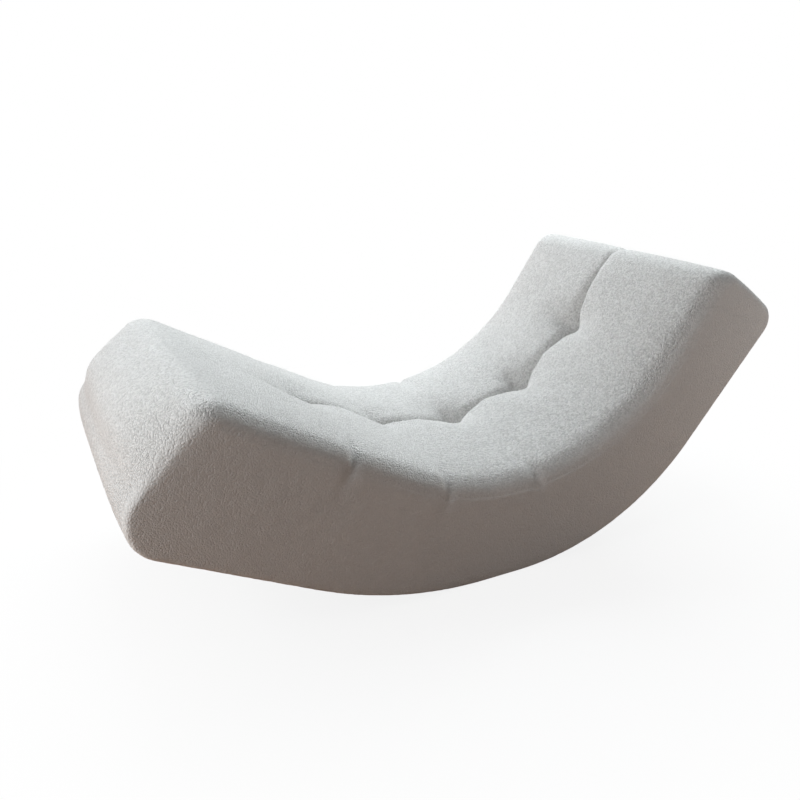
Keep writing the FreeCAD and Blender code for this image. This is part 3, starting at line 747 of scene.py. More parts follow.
@dataclass
class CoverSkin:
    """All bouclé panels sewn together as one skin, before it is cut into its panels.

    The wrapped part is a grid of columns along the side outline and rows across. Each flat side
    closes it with a patch between the base, the seat and the two end faces. The base is left open
    for the rocker cloth.
    """

    form: PaddingForm = field(default_factory=PaddingForm)
    filling: Filling = field(default_factory=Filling)
    long_cells: int = 176
    end_cells: int = 40
    flat_cells: int = 74
    edge_cells: int = 7
    seam_cells: int = 12
    middle_share: float = 1.4
    side_puff: float = 0.003
    nub_rise: float = 0.0003
    nub_period: float = 0.0075
    nub_seed: int = 11
    clump_rise: float = 0.0002
    clump_period: float = 0.020
    clump_seed: int = 12
    floor_press: float = 0.008
    channel_half: float = 0.012
    channel_hold: float = 0.3
    stitch_long: float = 0.010
    stitch_half: float = 0.016
    seam_rows: int = 3

    def __post_init__(self) -> None:
        """Lay out the walk, the columns and the rows, and let the filling push the cover out."""
        self.walk = self.form.outline.walk()
        corners = ("foot_heel", "foot_fold", "head_fold", "head_heel")
        marks = [self.walk.middle(name) for name in corners]
        marks.append(marks[0] + self.walk.length)
        cells = [self.end_cells, self.long_cells, self.end_cells, self.long_cells]
        spans = zip(marks, marks[1:], cells)
        self.columns = np.concatenate([np.linspace(a, b, n, endpoint=False) for a, b, n in spans])
        self.turns = np.cumsum([0] + cells)
        even = np.linspace(-1.0, 1.0, self.flat_cells + 1)
        flat = np.sign(even) * np.abs(even) ** self.middle_share
        edge = np.linspace(0.0, math.pi / 2, self.edge_cells + 1)[1:]
        ones = np.ones(self.edge_cells)
        self.flat_share = np.concatenate([-ones, flat, ones])
        self.edge_angle = np.concatenate([-edge[::-1], np.zeros(len(flat)), edge])
        self.wrapped = self.tube()
        self.wrapped = self.wrapped + self.pushed(self.wrapped)

    def across(self, along: Array) -> tuple[Array, Array]:
        """Distances across, and drops of the rounded edge, at each row and each place along."""
        radius = self.form.edge_radius(self.walk, along)
        turn = self.edge_angle[:, None]
        flat = self.flat_share[:, None] * (self.form.outline.half_width - radius)
        return flat + radius * np.sin(turn), radius * (1 - np.cos(turn))

    def tube(self) -> Array:
        """Wrapped part of the skin: outline point plus normal times height, less the edge's drop.

        Returns:
            Points, rows across by columns along by 3.
        """
        y, drop = self.across(self.columns[None, :])
        along = np.broadcast_to(self.columns[None, :], y.shape)
        rise = self.form.height(self.walk, along, y) - drop
        point, normal = self.walk.place(along)
        turned = (np.abs(self.edge_angle) / (math.pi / 2))[:, None]
        dent = self.form.dents(along - self.walk.begin["seat_head"]) * turned
        return MeshMaker.lift(point + normal * rise[..., None], y - np.sign(y) * dent)

    def held(self) -> Array:
        """How firmly the cover is held: fully at base, seams and tufts, softly in the channel."""
        w = self.walk
        y, _ = self.across(self.columns[None, :])
        along = np.broadcast_to(np.mod(self.columns, w.length)[None, :], y.shape)
        s = along - w.begin["seat_head"]
        tufts = self.form.tufts()
        across = np.abs(y)
        at_tuft = np.abs(s[..., None] - tufts).min(axis=-1) < self.stitch_long
        hold = np.zeros(y.shape)
        in_channel = (across < self.channel_half) & (s < tufts[0]) & (s > tufts[-1])
        hold[in_channel] = self.channel_hold
        hold[at_tuft & (across < self.stitch_half)] = 1.0
        hold[(along > w.begin["head_heel"]) | (along < w.finish["foot_heel"])] = 1.0
        hold[:self.seam_rows] = 1.0
        hold[-self.seam_rows:] = 1.0
        return hold

    def pushed(self, points: Array) -> Array:
        """Moves of the wrapped part, simulated on every other row and column and eased between."""
        coarse = self.filling.push(points[::2, ::2], self.held()[::2, ::2])
        rows = np.empty((2 * len(coarse) - 1, *coarse.shape[1:]))
        rows[::2] = coarse
        rows[1::2] = (coarse[:-1] + coarse[1:]) / 2
        between = (rows + np.roll(rows, -1, axis=1)) / 2
        return np.stack([rows, between], axis=2).reshape(points.shape)

    def stretches(self, rim: Array) -> tuple[Array, Array, Array, Array]:
        """Base, seat, foot end and head end of a rim, each from foot to head or base to seat."""
        t = self.turns
        closed = np.concatenate([rim, rim[:1]])
        foot, seat, head, base = (closed[a:b + 1] for a, b in zip(t, t[1:]))
        return base[::-1], seat, foot, head[::-1]

    def side(self, rim: Array) -> Array:
        """Flat side between the four stretches of its rim, with a puff and the notches' dents.

        The puff is the root of a product of parabolas. A dent dies away with the distance below
        the seat's rim.

        Args:
            rim: Points of the tube's outermost row.

        Returns:
            Points, from the base to the seat by from the foot to the head by 3.
        """
        t = self.turns
        patch = MeshMaker.patch(*self.stretches(rim))
        a = np.linspace(0.0, 1.0, patch.shape[1])[None, :]
        b = np.linspace(0.0, 1.0, patch.shape[0])[:, None]
        puff = self.side_puff * np.clip(16 * a * (1 - a) * b * (1 - b), 0, 1) ** 0.5
        below = np.linalg.norm(patch - patch[-1:], axis=-1)
        dent = self.form.dents(self.columns[t[1]:t[2] + 1] - self.walk.begin["seat_head"])
        drawn = dent * np.exp(-below / self.form.dent_fall)
        patch[..., 1] = np.sign(rim[0, 1]) * (self.form.outline.half_width + puff - drawn)
        return patch

    def sewn(self) -> tuple[Array, Array, Array]:
        """Closed skin with one tag for each panel.

        Returns:
            Points, quads and the quads' panel numbers.
        """
        tube = self.wrapped
        rows, columns = tube.shape[:2]
        ids = np.arange(rows * columns).reshape(rows, columns)
        column = np.arange(columns)[None, :]
        row = np.arange(rows - 1)[:, None]
        t = self.turns
        on_base = (column >= t[3] + self.seam_cells) & (column < t[4] - self.seam_cells)
        tags = np.full((rows - 1, columns), Panel.TOP.value)
        tags[np.broadcast_to(on_base, tags.shape)] = Panel.OPEN.value
        tags[on_base & (row < self.edge_cells)] = Panel.LEFT.value
        tags[on_base & (row >= rows - 1 - self.edge_cells)] = Panel.RIGHT.value
        points = [tube.reshape(-1, 3)]
        faces = [MeshMaker.ring(rows, columns)]
        marks = [tags.ravel()]
        for edge, panel in ((0, Panel.LEFT), (rows - 1, Panel.RIGHT)):
            patch = self.side(tube[edge])
            cell = np.full(patch.shape[:2], -1)
            cell[0], seat, cell[:, 0], cell[:, -1] = self.stretches(ids[edge])
            cell[-1] = seat
            free = cell < 0
            cell[free] = sum(len(p) for p in points) + np.arange(free.sum())
            points.append(patch[free])
            quad = MeshMaker.quads(cell)
            faces.append((quad if panel is Panel.LEFT else quad[..., ::-1]).reshape(-1, 4))
            marks.append(np.full(quad.shape[0] * quad.shape[1], panel.value))
        return np.concatenate(points), np.concatenate(faces), np.concatenate(marks)

    def nubs(self, points: Array) -> Array:
        """Rise of the looped yarn: fine loops on larger clumps, pressed flat on the floor."""
        fine = soft_noise(points, self.nub_period, self.nub_seed)
        clump = soft_noise(points, self.clump_period, self.clump_seed)
        free = np.clip(points[:, 2] / self.floor_press, 0.0, 1.0)
        return (self.nub_rise * fine + self.clump_rise * clump) * free

    def build(self) -> dict[Panel, bpy.types.Object]:
        """Make the skin, refine it, raise the looped yarn and cut it into panels.

        Returns:
            One object for each panel.
        """
        points, faces, tags = self.sewn()
        skin = MeshMaker.make("cover_skin", points, faces)
        spare = [bpy.data.materials.new(panel.name) for panel in Panel]
        for mark in spare:
            skin.data.materials.append(mark)
        skin.data.polygons.foreach_set("material_index", tags.astype(np.int32))
        finer = skin.modifiers.new("finer", "SUBSURF")
        finer.levels = finer.render_levels = 1
        fine = MeshMaker.evaluated(skin)
        points, faces, tags = MeshMaker.read(fine)
        raised = points + MeshMaker.normals(points, faces) * self.nubs(points)[:, None]
        made = {}
        for panel in (Panel.TOP, Panel.LEFT, Panel.RIGHT):
            used, where = np.unique(faces[tags == panel.value], return_inverse=True)
            name = "panel_" + panel.name.lower()
            made[panel] = MeshMaker.make(name, raised[used], where.reshape(-1, 4))
        MeshMaker.discard(skin, fine)
        for mark in spare:
            bpy.data.materials.remove(mark)
        return made


class Effect(Enum):
    """Shader node groups that the finishes share."""

    LOOPED_PILE = "LoopedPile"
    FIBRE = "FibreMottle"
    GRAIN = "WoodGrain"
    WEAVE = "WovenThreads"


class Nodes:
    """Short calls for building one node tree."""

    def __init__(self, tree: bpy.types.NodeTree) -> None:
        """Keep the tree that the calls add to."""
        self.tree = tree

    def add(self, kind: str, settings: dict | None = None,
            inputs: dict | None = None) -> bpy.types.Node:
        """New node.

        Args:
            kind: Blender's node type.
            settings: Properties of the node.
            inputs: Values, or sockets to link, by input name or number.

        Returns:
            The node.
        """
        node = self.tree.nodes.new(kind)
        for key, value in (settings or {}).items():
            setattr(node, key, value)
        for key, value in (inputs or {}).items():
            if isinstance(value, Socket):
                self.link(value, node.inputs[key])
            else:
                node.inputs[key].default_value = value
        return node

    def link(self, source: Socket, target: Socket) -> None:
        """Join an output to an input."""
        self.tree.links.new(source, target)

    def math(self, operation: str, *values: object) -> Socket:
        """Math node's result for numbers or sockets."""
        inputs = dict(enumerate(values))
        return self.add("ShaderNodeMath", {"operation": operation}, inputs).outputs[0]

    def mix(self, factor: object, first: object, second: object) -> Socket:
        """Colour between two colours."""
        inputs = {0: factor, 6: first, 7: second}
        return self.add("ShaderNodeMix", {"data_type": "RGBA"}, inputs).outputs[2]

    def noise(self, vector: object, scale: object, detail: float, swirl: float = 0.0) -> Socket:
        """Noise value about one half."""
        inputs = {"Vector": vector, "Scale": scale, "Detail": detail, "Distortion": swirl}
        return self.add("ShaderNodeTexNoise", None, inputs).outputs[0]

    def step(self, value: object, low: float, high: float) -> Socket:
        """Smooth step from 0 at low to 1 at high."""
        inputs = {"Value": value, "From Min": low, "From Max": high}
        settings = {"interpolation_type": "SMOOTHSTEP"}
        return self.add("ShaderNodeMapRange", settings, inputs).outputs[0]

    def place(self, kind: str = "Object") -> Socket:
        """Place on the piece, in its own coordinates or on its flat UV map."""
        return self.add("ShaderNodeTexCoord").outputs[kind]

    def part(self, vector: object, axis: Axis) -> Socket:
        """One part of a vector."""
        return self.add("ShaderNodeSeparateXYZ", None, {0: vector}).outputs[axis.value]

    def effect(self, effect: Effect, vector: object, **values: float) -> tuple[Socket, Socket]:
        """Tone and height of a shared effect placed with its own values."""
        group = {"node_tree": bpy.data.node_groups[effect.value]}
        node = self.add("ShaderNodeGroup", group, {"Vector": vector, **values})
        return node.outputs["Tone"], node.outputs["Height"]


class EffectGroups:
    """Builds the shared shader node groups."""

    WARP_SCALE, WARP = 70.0, (0.002, 0.002, 0.002)
    CURL_SWIRL, DOME_SPREAD, LOOP_SPAN, RIDGE = 1.3, 1.35, 0.45, 0.14
    # LIT_* set the painted shade in the gaps between loops; the last share sets the painted light
    # on each loop, a random brightness as if each loop faced the light its own way.
    LIT_BEGIN, LIT_END, LIT_SHARE, CHANCE_SHARE = 0.05, 0.75, 0.2, 0.8
    FIBRE_SWIRL, FINE_SHARE, COARSE_SHARE = 0.8, 0.7, 0.3
    MOTTLE_BEGIN, MOTTLE_END = 0.3, 0.7
    BAND_SWIRL, BAND_TURNS, BAND_SHARE, PORE_SHARE = 0.5, 42.0, 0.45, 0.55
    DRIFT_SCALE, DRIFT_SHARE, THREAD_SHARE = 25.0, 0.4, 0.6

    @staticmethod
    def new(effect: Effect, inputs: dict[str, float]) -> tuple[Nodes, dict[str, Socket]]:
        """Empty group with a Vector input, number inputs, and Tone and Height outputs.

        Args:
            effect: Which group it is.
            inputs: Number inputs and their defaults.

        Returns:
            The group's nodes and its input sockets by name.
        """
        tree = bpy.data.node_groups.new(effect.value, "ShaderNodeTree")
        tree.interface.new_socket("Vector", in_out="INPUT", socket_type="NodeSocketVector")
        for key, value in inputs.items():
            socket = tree.interface.new_socket(key, in_out="INPUT", socket_type="NodeSocketFloat")
            socket.default_value = value
        for key in ("Tone", "Height"):
            tree.interface.new_socket(key, in_out="OUTPUT", socket_type="NodeSocketFloat")
        nodes = Nodes(tree)
        return nodes, {s.name: s for s in nodes.add("NodeGroupInput").outputs}

    @classmethod
    def looped_pile(cls) -> None:
        """Curled yarn: ridges of a swirled noise over small uneven domes, on a warped ground. Its
        tone is painted light and shade: painted shade in the gaps between loops, and painted light
        on each loop by a random share, as if each loop faced the light its own way.
        """
        n, source = cls.new(Effect.LOOPED_PILE, {"Curl": 380.0, "Cell": 290.0})
        place = source["Vector"]
        bend = n.add("ShaderNodeTexNoise", None,
                     {"Vector": place, "Scale": cls.WARP_SCALE, "Detail": 1.0})
        warp = {0: bend.outputs["Color"], 1: cls.WARP, 2: place}
        shift = n.add("ShaderNodeVectorMath", {"operation": "MULTIPLY_ADD"}, warp).outputs[0]
        swirl = n.noise(shift, source["Curl"], 2.0, cls.CURL_SWIRL)
        curl = n.math("MULTIPLY_ADD", swirl, 4.0, -2.0)
        ridge = n.math("SUBTRACT", 1.0, n.math("ABSOLUTE", curl))
        cell = n.add("ShaderNodeTexVoronoi", {"feature": "F1"},
                     {"Vector": shift, "Scale": source["Cell"]})
        away = n.math("MULTIPLY", cell.outputs["Distance"], cls.DOME_SPREAD)
        dome = n.math("SUBTRACT", 1.0, n.math("POWER", away, 2.0))
        chance = n.add("ShaderNodeSeparateColor", None, {0: cell.outputs["Color"]}).outputs[0]
        size = n.math("MULTIPLY_ADD", chance, cls.LOOP_SPAN, cls.LOOP_SPAN)
        height = n.math("MULTIPLY_ADD", ridge, cls.RIDGE, n.math("MULTIPLY", dome, size))
        # Tone is painted light and shade: darker in the gaps between loops, and each loop lit by
        # its own random share.
        lit = n.math("MULTIPLY", n.step(height, cls.LIT_BEGIN, cls.LIT_END), cls.LIT_SHARE)
        tone = n.math("MULTIPLY_ADD", chance, cls.CHANCE_SHARE, lit)
        n.add("NodeGroupOutput", None, {"Tone": tone, "Height": height})

    @classmethod
    def fibre(cls) -> None:
        """Matted fibres or open cells: fine noise on coarse noise."""
        n, source = cls.new(Effect.FIBRE, {"Coarse": 40.0, "Fine": 420.0})
        coarse = n.noise(source["Vector"], source["Coarse"], 3.0)
        fine = n.noise(source["Vector"], source["Fine"], 3.0, cls.FIBRE_SWIRL)
        ground = n.math("MULTIPLY", coarse, cls.COARSE_SHARE)
        height = n.math("MULTIPLY_ADD", fine, cls.FINE_SHARE, ground)
        tone = n.step(height, cls.MOTTLE_BEGIN, cls.MOTTLE_END)
        n.add("NodeGroupOutput", None, {"Tone": tone, "Height": height})

    @classmethod
    def grain(cls) -> None:
        """Wood grain: wandering growth bands with fine pores, drawn out by the vector's scale."""
        n, source = cls.new(Effect.GRAIN, {"Bands": 9.0, "Pores": 260.0})
        wander = n.noise(source["Vector"], source["Bands"], 3.0, cls.BAND_SWIRL)
        wave = n.math("SINE", n.math("MULTIPLY", wander, cls.BAND_TURNS))
        band = n.math("MULTIPLY_ADD", wave, 0.5, 0.5)
        pore = n.noise(source["Vector"], source["Pores"], 2.0)
        bands = n.math("MULTIPLY", band, cls.BAND_SHARE)
        tone = n.math("MULTIPLY_ADD", pore, cls.PORE_SHARE, bands)
        n.add("NodeGroupOutput", None, {"Tone": tone, "Height": pore})

    @classmethod
    def weave(cls) -> None:
        """Plain weave: rounded threads that pass over and under each other on a chequer."""
        n, source = cls.new(Effect.WEAVE, {"Threads": 520.0})
        u, v = (n.math("MULTIPLY", n.part(source["Vector"], axis), source["Threads"])
                for axis in (Axis.X, Axis.Y))
        warp, weft = (n.math("ABSOLUTE", n.math("SINE", n.math("MULTIPLY", way, math.pi)))
                      for way in (u, v))
        count = n.math("ADD", n.math("FLOOR", u), n.math("FLOOR", v))
        over = n.math("FLOORED_MODULO", count, 2.0)
        under = n.math("SUBTRACT", 1.0, over)
        height = n.math("ADD", n.math("MULTIPLY", warp, over), n.math("MULTIPLY", weft, under))
        drift = n.noise(source["Vector"], cls.DRIFT_SCALE, 3.0)
        slow = n.math("MULTIPLY", drift, cls.DRIFT_SHARE)
        tone = n.math("MULTIPLY_ADD", height, cls.THREAD_SHARE, slow)
        n.add("NodeGroupOutput", None, {"Tone": tone, "Height": height})

    @classmethod
    def build(cls) -> None:
        """Make every group."""
        for make in (cls.looped_pile, cls.fibre, cls.grain, cls.weave):
            make()


@dataclass(frozen=True)
class Finish:
    """Base of the finishes: two tones, roughness and relief."""

    name: str
    dark: Colour
    pale: Colour
    roughness: float
    bump: float
    depth: float

    def material(self) -> bpy.types.Material:
        """New material, coloured by its pattern's tone and raised by its height."""
        mat = bpy.data.materials.new(self.name)
        mat.use_nodes = True
        n = Nodes(mat.node_tree)
        shader = mat.node_tree.nodes["Principled BSDF"]
        shader.inputs["Roughness"].default_value = self.roughness
        tone, height = self.pattern(n, shader)
        colour = n.mix(tone, (*self.dark, 1.0), (*self.pale, 1.0))
        relief = {"Height": height, "Strength": self.bump, "Distance": self.depth}
        bump = n.add("ShaderNodeBump", None, relief)
        n.link(colour, shader.inputs["Base Color"])
        n.link(bump.outputs[0], shader.inputs["Normal"])
        return mat

    def pattern(self, n: Nodes, shader: bpy.types.Node) -> tuple[Socket, Socket]:
        """Tone and height over the surface; sets what else the shader needs."""
        raise NotImplementedError


@dataclass(frozen=True)
class BoucleFinish(Finish):
    """Off-white looped bouclé."""

    name: str = "boucle"
    # dark is the painted shade in the gaps and on loops turned from the light, pale the painted
    # light on the loops; the slow drifts of tone also move between them.
    dark: Colour = (0.56, 0.55, 0.535)
    pale: Colour = (0.98, 0.97, 0.955)
    roughness: float = 0.96
    bump: float = 1.0
    depth: float = 0.0024
    sheen: float = 0.25
    edge_begin: float = 0.322
    edge_end: float = 0.350
    edge_rest: float = 0.35
    contrast: float = 0.9
    drift: float = 0.2
    drift_scale: float = 9.0
    low_tone: float = 0.4

    def pattern(self, n: Nodes, shader: bpy.types.Node) -> tuple[Socket, Socket]:
        """Painted light on the loops and painted shade in the gaps between them, with slow drifts
        of tone, and the painted loop light and shade and the relief calmer towards the side edges.
        """
        place = n.place()
        # The pile's tone is painted light on the loops and painted shade in the gaps between them.
        loop_light_and_shade, pile_height = n.effect(Effect.LOOPED_PILE, place)
        slow = n.noise(place, self.drift_scale, 3.0)
        drift = n.math("MULTIPLY_ADD", slow, self.drift, self.low_tone)
        # Towards the side edges the painted loop light and shade, and the relief, are calmed.
        at_edge = n.step(n.math("ABSOLUTE", n.part(place, Axis.Y)), self.edge_begin, self.edge_end)
        calm = n.math("MULTIPLY_ADD", at_edge, self.edge_rest - 1, 1.0)
        spread = n.math("MULTIPLY", n.math("SUBTRACT", loop_light_and_shade, 0.5), calm)
        shader.inputs["Sheen Weight"].default_value = self.sheen
        tone = n.math("MULTIPLY_ADD", spread, self.contrast, drift)
        return tone, n.math("MULTIPLY", pile_height, calm)


@dataclass(frozen=True)
class WovenFinish(Finish):
    """Dark woven non-slip cloth, drawn on the piece's flat UV map."""

    name: str = "rocker_weave"
    dark: Colour = (0.035, 0.034, 0.033)
    pale: Colour = (0.19, 0.185, 0.178)
    roughness: float = 0.88
    bump: float = 0.6
    depth: float = 0.0008
    threads: float = 520.0

    def pattern(self, n: Nodes, shader: bpy.types.Node) -> tuple[Socket, Socket]:
        """Over and under threads with slow drifts of tone."""
        return n.effect(Effect.WEAVE, n.place("UV"), Threads=self.threads)


@dataclass(frozen=True)
class FibreFinish(Finish):
    """Matted or open-celled stuff: felt, foam or waxed twine."""

    coarse: float = 40.0
    fine: float = 420.0

    def pattern(self, n: Nodes, shader: bpy.types.Node) -> tuple[Socket, Socket]:
        """Tone and relief from matted fibres."""
        return n.effect(Effect.FIBRE, n.place(), Coarse=self.coarse, Fine=self.fine)


@dataclass(frozen=True)
class WoodFinish(Finish):
    """Bare wood with its grain along one axis, and plies on the edges of flat plywood."""

    along: Axis = Axis.Y
    bands: float = 9.0
    pores: float = 260.0
    ply: float = 0.0
    squeeze: float = 0.06
    glue: float = 0.7
    glue_edges: tuple[float, float] = (0.1, 0.45)

    def pattern(self, n: Nodes, shader: bpy.types.Node) -> tuple[Socket, Socket]:
        """Grain drawn out along the axis, with dark glue lines on the cut edges of plywood."""
        stretch = [self.squeeze if axis is self.along else 1.0 for axis in Axis]
        place = n.place()
        drawn = n.add("ShaderNodeMapping", None, {"Vector": place, "Scale": stretch}).outputs[0]
        tone, height = n.effect(Effect.GRAIN, drawn, Bands=self.bands, Pores=self.pores)
        if self.ply:
            turn = n.math("MULTIPLY", n.part(place, Axis.Y), math.pi / self.ply)
            wave = n.math("ABSOLUTE", n.math("SINE", turn))
            facing = n.part(n.add("ShaderNodeNewGeometry").outputs["Normal"], Axis.Y)
            on_edge = n.math("LESS_THAN", n.math("ABSOLUTE", facing), 0.5)
            line = n.math("SUBTRACT", 1.0, n.step(wave, *self.glue_edges))
            glue = n.math("MULTIPLY", on_edge, line)
            tone = n.math("SUBTRACT", tone, n.math("MULTIPLY", glue, self.glue))
        return tone, height


@dataclass(frozen=True)
class SteelFinish(Finish):
    """Plated steel with a slightly cloudy sheen."""

    bump: float = 0.15
    depth: float = 0.0002
    coarse: float = 180.0
    fine: float = 900.0
    cloud: float = 0.16

    def pattern(self, n: Nodes, shader: bpy.types.Node) -> tuple[Socket, Socket]:
        """Metal whose tone and roughness vary a little."""
        tone, height = n.effect(Effect.FIBRE, n.place(), Coarse=self.coarse, Fine=self.fine)
        rough = n.math("MULTIPLY_ADD", tone, self.cloud, self.roughness)
        n.link(rough, shader.inputs["Roughness"])
        shader.inputs["Metallic"].default_value = 1.0
        return tone, height


def dress(piece: bpy.types.Object, mat: bpy.types.Material, slot: str, *nodes: str) -> None:
    """Give a new piece its finish and its body, and let it stand for CAD nodes.

    Args:
        piece: The new piece.
        mat: Its finish.
        slot: The record's material slot; not used.
        nodes: CAD nodes that it stands for.
    """
    piece.data.materials.append(mat)
    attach(piece, BODY)
    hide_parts(*nodes)
    LOG.info("%s: %d faces", piece.name, len(piece.data.polygons))


@dataclass
class Covers:
    """Bouclé covers: the tufted panel over the seat and both ends, and the two side panels."""

    skin: CoverSkin
    fill: float = 0.85
    finish: BoucleFinish = BoucleFinish()
    # The sides' copy of the bouclé spans less from dark to pale: weaker painted loop light and
    # shade, matched to the soft light on the sides.
    soft_light_side_finish: BoucleFinish = BoucleFinish(
        name="boucle_side_soft_light", dark=(0.69, 0.68, 0.662), pale=(0.86, 0.85, 0.838)
    )

    def build(self) -> None:
        """Cut the panels from the sewn skin and dress them, the sides in a copy of the bouclé with
        weaker painted loop light and shade, matched to the soft light on the sides.
        """
        panels = self.skin.build()
        boucle = self.finish.material()
        # The sides get the copy with weaker painted loop light and shade.
        calm = self.soft_light_side_finish.material()
        names = {
            Panel.TOP: ("tufted_cover", "top_cover", boucle),
            Panel.LEFT: ("side_panel_left", "side_cover_left", calm),
            Panel.RIGHT: ("side_panel_right", "side_cover_right", calm),
        }
        for panel, (name, node, finish) in names.items():
            panels[panel].name = name
            dress(panels[panel], finish, "boucle", node)


@dataclass
class Padding:
    """Foam under the covers: the tufted seat, the two end pads and the two side pads."""

    skin: CoverSkin
    under: float = 0.0065
    end_depth: float = 0.060
    seat_depth: float = 0.105
    seat_layers: int = 6
    end_layers: int = 4
    side_layers: int = 2
    lean_power: int = 8
    side_faces: tuple[float, float] = (0.3347, 0.3467)
    side_inset: float = 0.02
    side_heel: float = 0.05
    side_cells: tuple[int, int] = (120, 13)
    base_gap: float = 0.006
    back_half: float = 0.300
    back_gap: float = 0.055
    fill: float = 0.9
    finish: FibreFinish = FibreFinish(
        "foam", (0.66, 0.60, 0.45), (0.90, 0.85, 0.71), 0.9, 0.5, 0.001, 60.0, 900.0
    )

    def lower(self) -> Array:
        """Face of the foam: the wrapped cover moved in along its normals, along by across."""
        points = self.skin.wrapped
        normals = MeshMaker.normals(points.reshape(-1, 3), MeshMaker.ring(*points.shape[:2]))
        return (points - self.under * normals.reshape(points.shape)).transpose(1, 0, 2)

    def seat_ends(self) -> tuple[float, float]:
        """Places along the walk where the seat foam meets the two end pads."""
        o = self.skin.form.outline
        foot, head = self.skin.form.seat_limits()
        low = self.skin.walk.begin["seat_head"]
        at_foot = self.end_depth / math.sin(math.radians(o.seat_foot_angle + o.foot_slope))
        at_head = self.end_depth / math.sin(math.radians(o.seat_head_angle + o.head_slope))
        return low + foot + at_foot, low + head - at_head

    def inset(self, side: int) -> tuple[Array, Array]:
        """Seat and base ends of an end pad's back line, -1 at the foot and 1 at the head."""
        o = self.skin.form.outline
        at = o.corners()
        top = at["head_top"] if side > 0 else at["foot_top"]
        along = o.heading(-o.head_slope if side > 0 else o.foot_slope)
        out = np.array([-along[1], along[0]])
        seat = o.heading(o.seat_head_angle if side > 0 else 180 - o.seat_foot_angle)
        base = o.heading(o.base_head_angle if side > 0 else 180 - o.base_foot_angle)
        back = top - out * self.end_depth
        return o.meet(back, along, top, seat), o.meet(back, along, o.base_bend(side), base)

    def pad(self, name: str, face: Array, back: Array, cells: int) -> bpy.types.Object:
        """Slab from a back line in the side plane to the foam's face, point across from point."""
        across = np.clip(face[..., 1], -self.back_half, self.back_half)
        return MeshMaker.layer(name, MeshMaker.lift(back[:, None], across), face, cells)

    def seat_back(self, along: Array) -> Array:
        """Back line of the seat foam: a depth below the seat, leaning along the foot pad."""
        o = self.skin.form.outline
        point, normal = self.skin.walk.place(along)
        lean = math.tan(math.radians(90 - o.seat_foot_angle - o.foot_slope))
        fade = np.linspace(1.0, 0.0, len(along))[:, None] ** self.lean_power
        tangent = np.stack([normal[:, 1], -normal[:, 0]], axis=-1)
        return point - normal * self.seat_depth - tangent * (self.seat_depth * lean * fade)

    def build(self) -> None:
        """Make and dress the pads."""
        foam = self.finish.material()
        walk = self.skin.walk
        face = self.lower()[:, ::2]
        along = np.mod(self.skin.columns, walk.length)
        first, last = self.seat_ends()
        rows = np.flatnonzero((along >= first) & (along <= last))
        back = self.seat_back(along[rows])
        pieces = {"seat_foam": self.pad("seat_filling", face[rows], back, self.seat_layers)}
        on_foot, under_foot = self.inset(-1)
        on_head, under_head = self.inset(1)
        ends = {
            "foot": (walk.begin["foot_heel"], first, under_foot, on_foot),
            "head": (last, walk.finish["head_heel"], on_head, under_head),
        }
        for end, (low, high, start, stop) in ends.items():
            rows = np.flatnonzero((along >= low) & (along <= high))
            rows = rows[np.argsort(along[rows])]
            t = np.linspace(self.back_gap, 1.0 - self.back_gap, len(rows))[:, None]
            back = start * (1 - t) + stop * t
            pad = self.pad(f"{end}_end_filling", face[rows], back, self.end_layers)
            pieces[f"{end}_end_pad"] = pad
        for sign, hand in ((-1, "left"), (1, "right")):
            pieces["side_pad_" + hand] = self.side_pad("side_filling_" + hand, sign)
        for node, piece in pieces.items():
            dress(piece, foam, "foam", node)

    def side_pad(self, name: str, sign: int) -> bpy.types.Object:
        """Thin crescent pad beside the frame: a flat patch between the deck and base lines."""
        walk = self.skin.walk
        cells, rows = self.side_cells
        ends = (
            (walk.begin["calf"] + self.side_inset, walk.finish["back"] - self.side_inset,
             self.seat_depth),
            (walk.finish["base_calf"] - self.side_heel, walk.begin["base_back"] + self.side_inset,
             self.base_gap),
        )
        lines = []
        for begin, finish, depth in ends:
            point, normal = walk.place(np.linspace(begin, finish, cells))
            lines.append(point - normal * depth)
        top, bottom = lines
        t = np.linspace(0.0, 1.0, rows)[:, None]
        left, right = (bottom[i] * (1 - t) + top[i] * t for i in (0, -1))
        flat = MeshMaker.patch(bottom, top, left, right).transpose(1, 0, 2)
        inner, outer = (MeshMaker.lift(flat, sign * y) for y in self.side_faces)
        return MeshMaker.layer(name, inner, outer, self.side_layers, turned=sign > 0)


@dataclass
class RockerBase:
    """Cloth stretched under the rocking base and the felt behind it."""

    skin: CoverSkin
    cloth: float = 0.002
    felt_top: float = 0.0023
    felt: float = 0.005
    felt_half: float = 0.3344
    cells: int = 220
    rows: int = 48
    weave: WovenFinish = WovenFinish()
    matted: FibreFinish = FibreFinish(
        "felt", (0.24, 0.235, 0.225), (0.46, 0.45, 0.43), 0.95, 0.6, 0.001, 35.0, 380.0
    )

    def sheet(self, name: str, outer: float, thick: float,
              half: float) -> tuple[bpy.types.Object, float]:
        """Sheet along the base line, a depth inside it.

        Args:
            name: Object's name.
            outer: Depth of its outer face.
            thick: Thickness.
            half: Half its width.

        Returns:
            The object and the sheet's length along the base.
        """
        skin = self.skin
        t = skin.turns
        columns = np.concatenate([skin.columns, skin.columns[:1] + skin.walk.length])
        first, last = columns[t[3] + skin.seam_cells], columns[t[4] - skin.seam_cells]
        point, normal = skin.walk.place(np.linspace(first, last, self.cells + 1))
        y = np.linspace(-half, half, self.rows + 1)
        faces = [MeshMaker.lift((point - normal * depth)[:, None], y)
                 for depth in (outer + thick, outer)]
        return MeshMaker.layer(name, *faces, 1), last - first

    def build(self) -> None:
        """Make and dress both sheets."""
        half = self.skin.form.outline.half_width - self.skin.form.base_edge
        cloth, length = self.sheet("rocker_cloth", 0.0, self.cloth, half)
        dress(cloth, self.weave.material(), "base_cloth", "base_cloth")
        felt, _ = self.sheet("rocker_felt", self.felt_top, self.felt, self.felt_half)
        dress(felt, self.matted.material(), "felt", "base_felt")


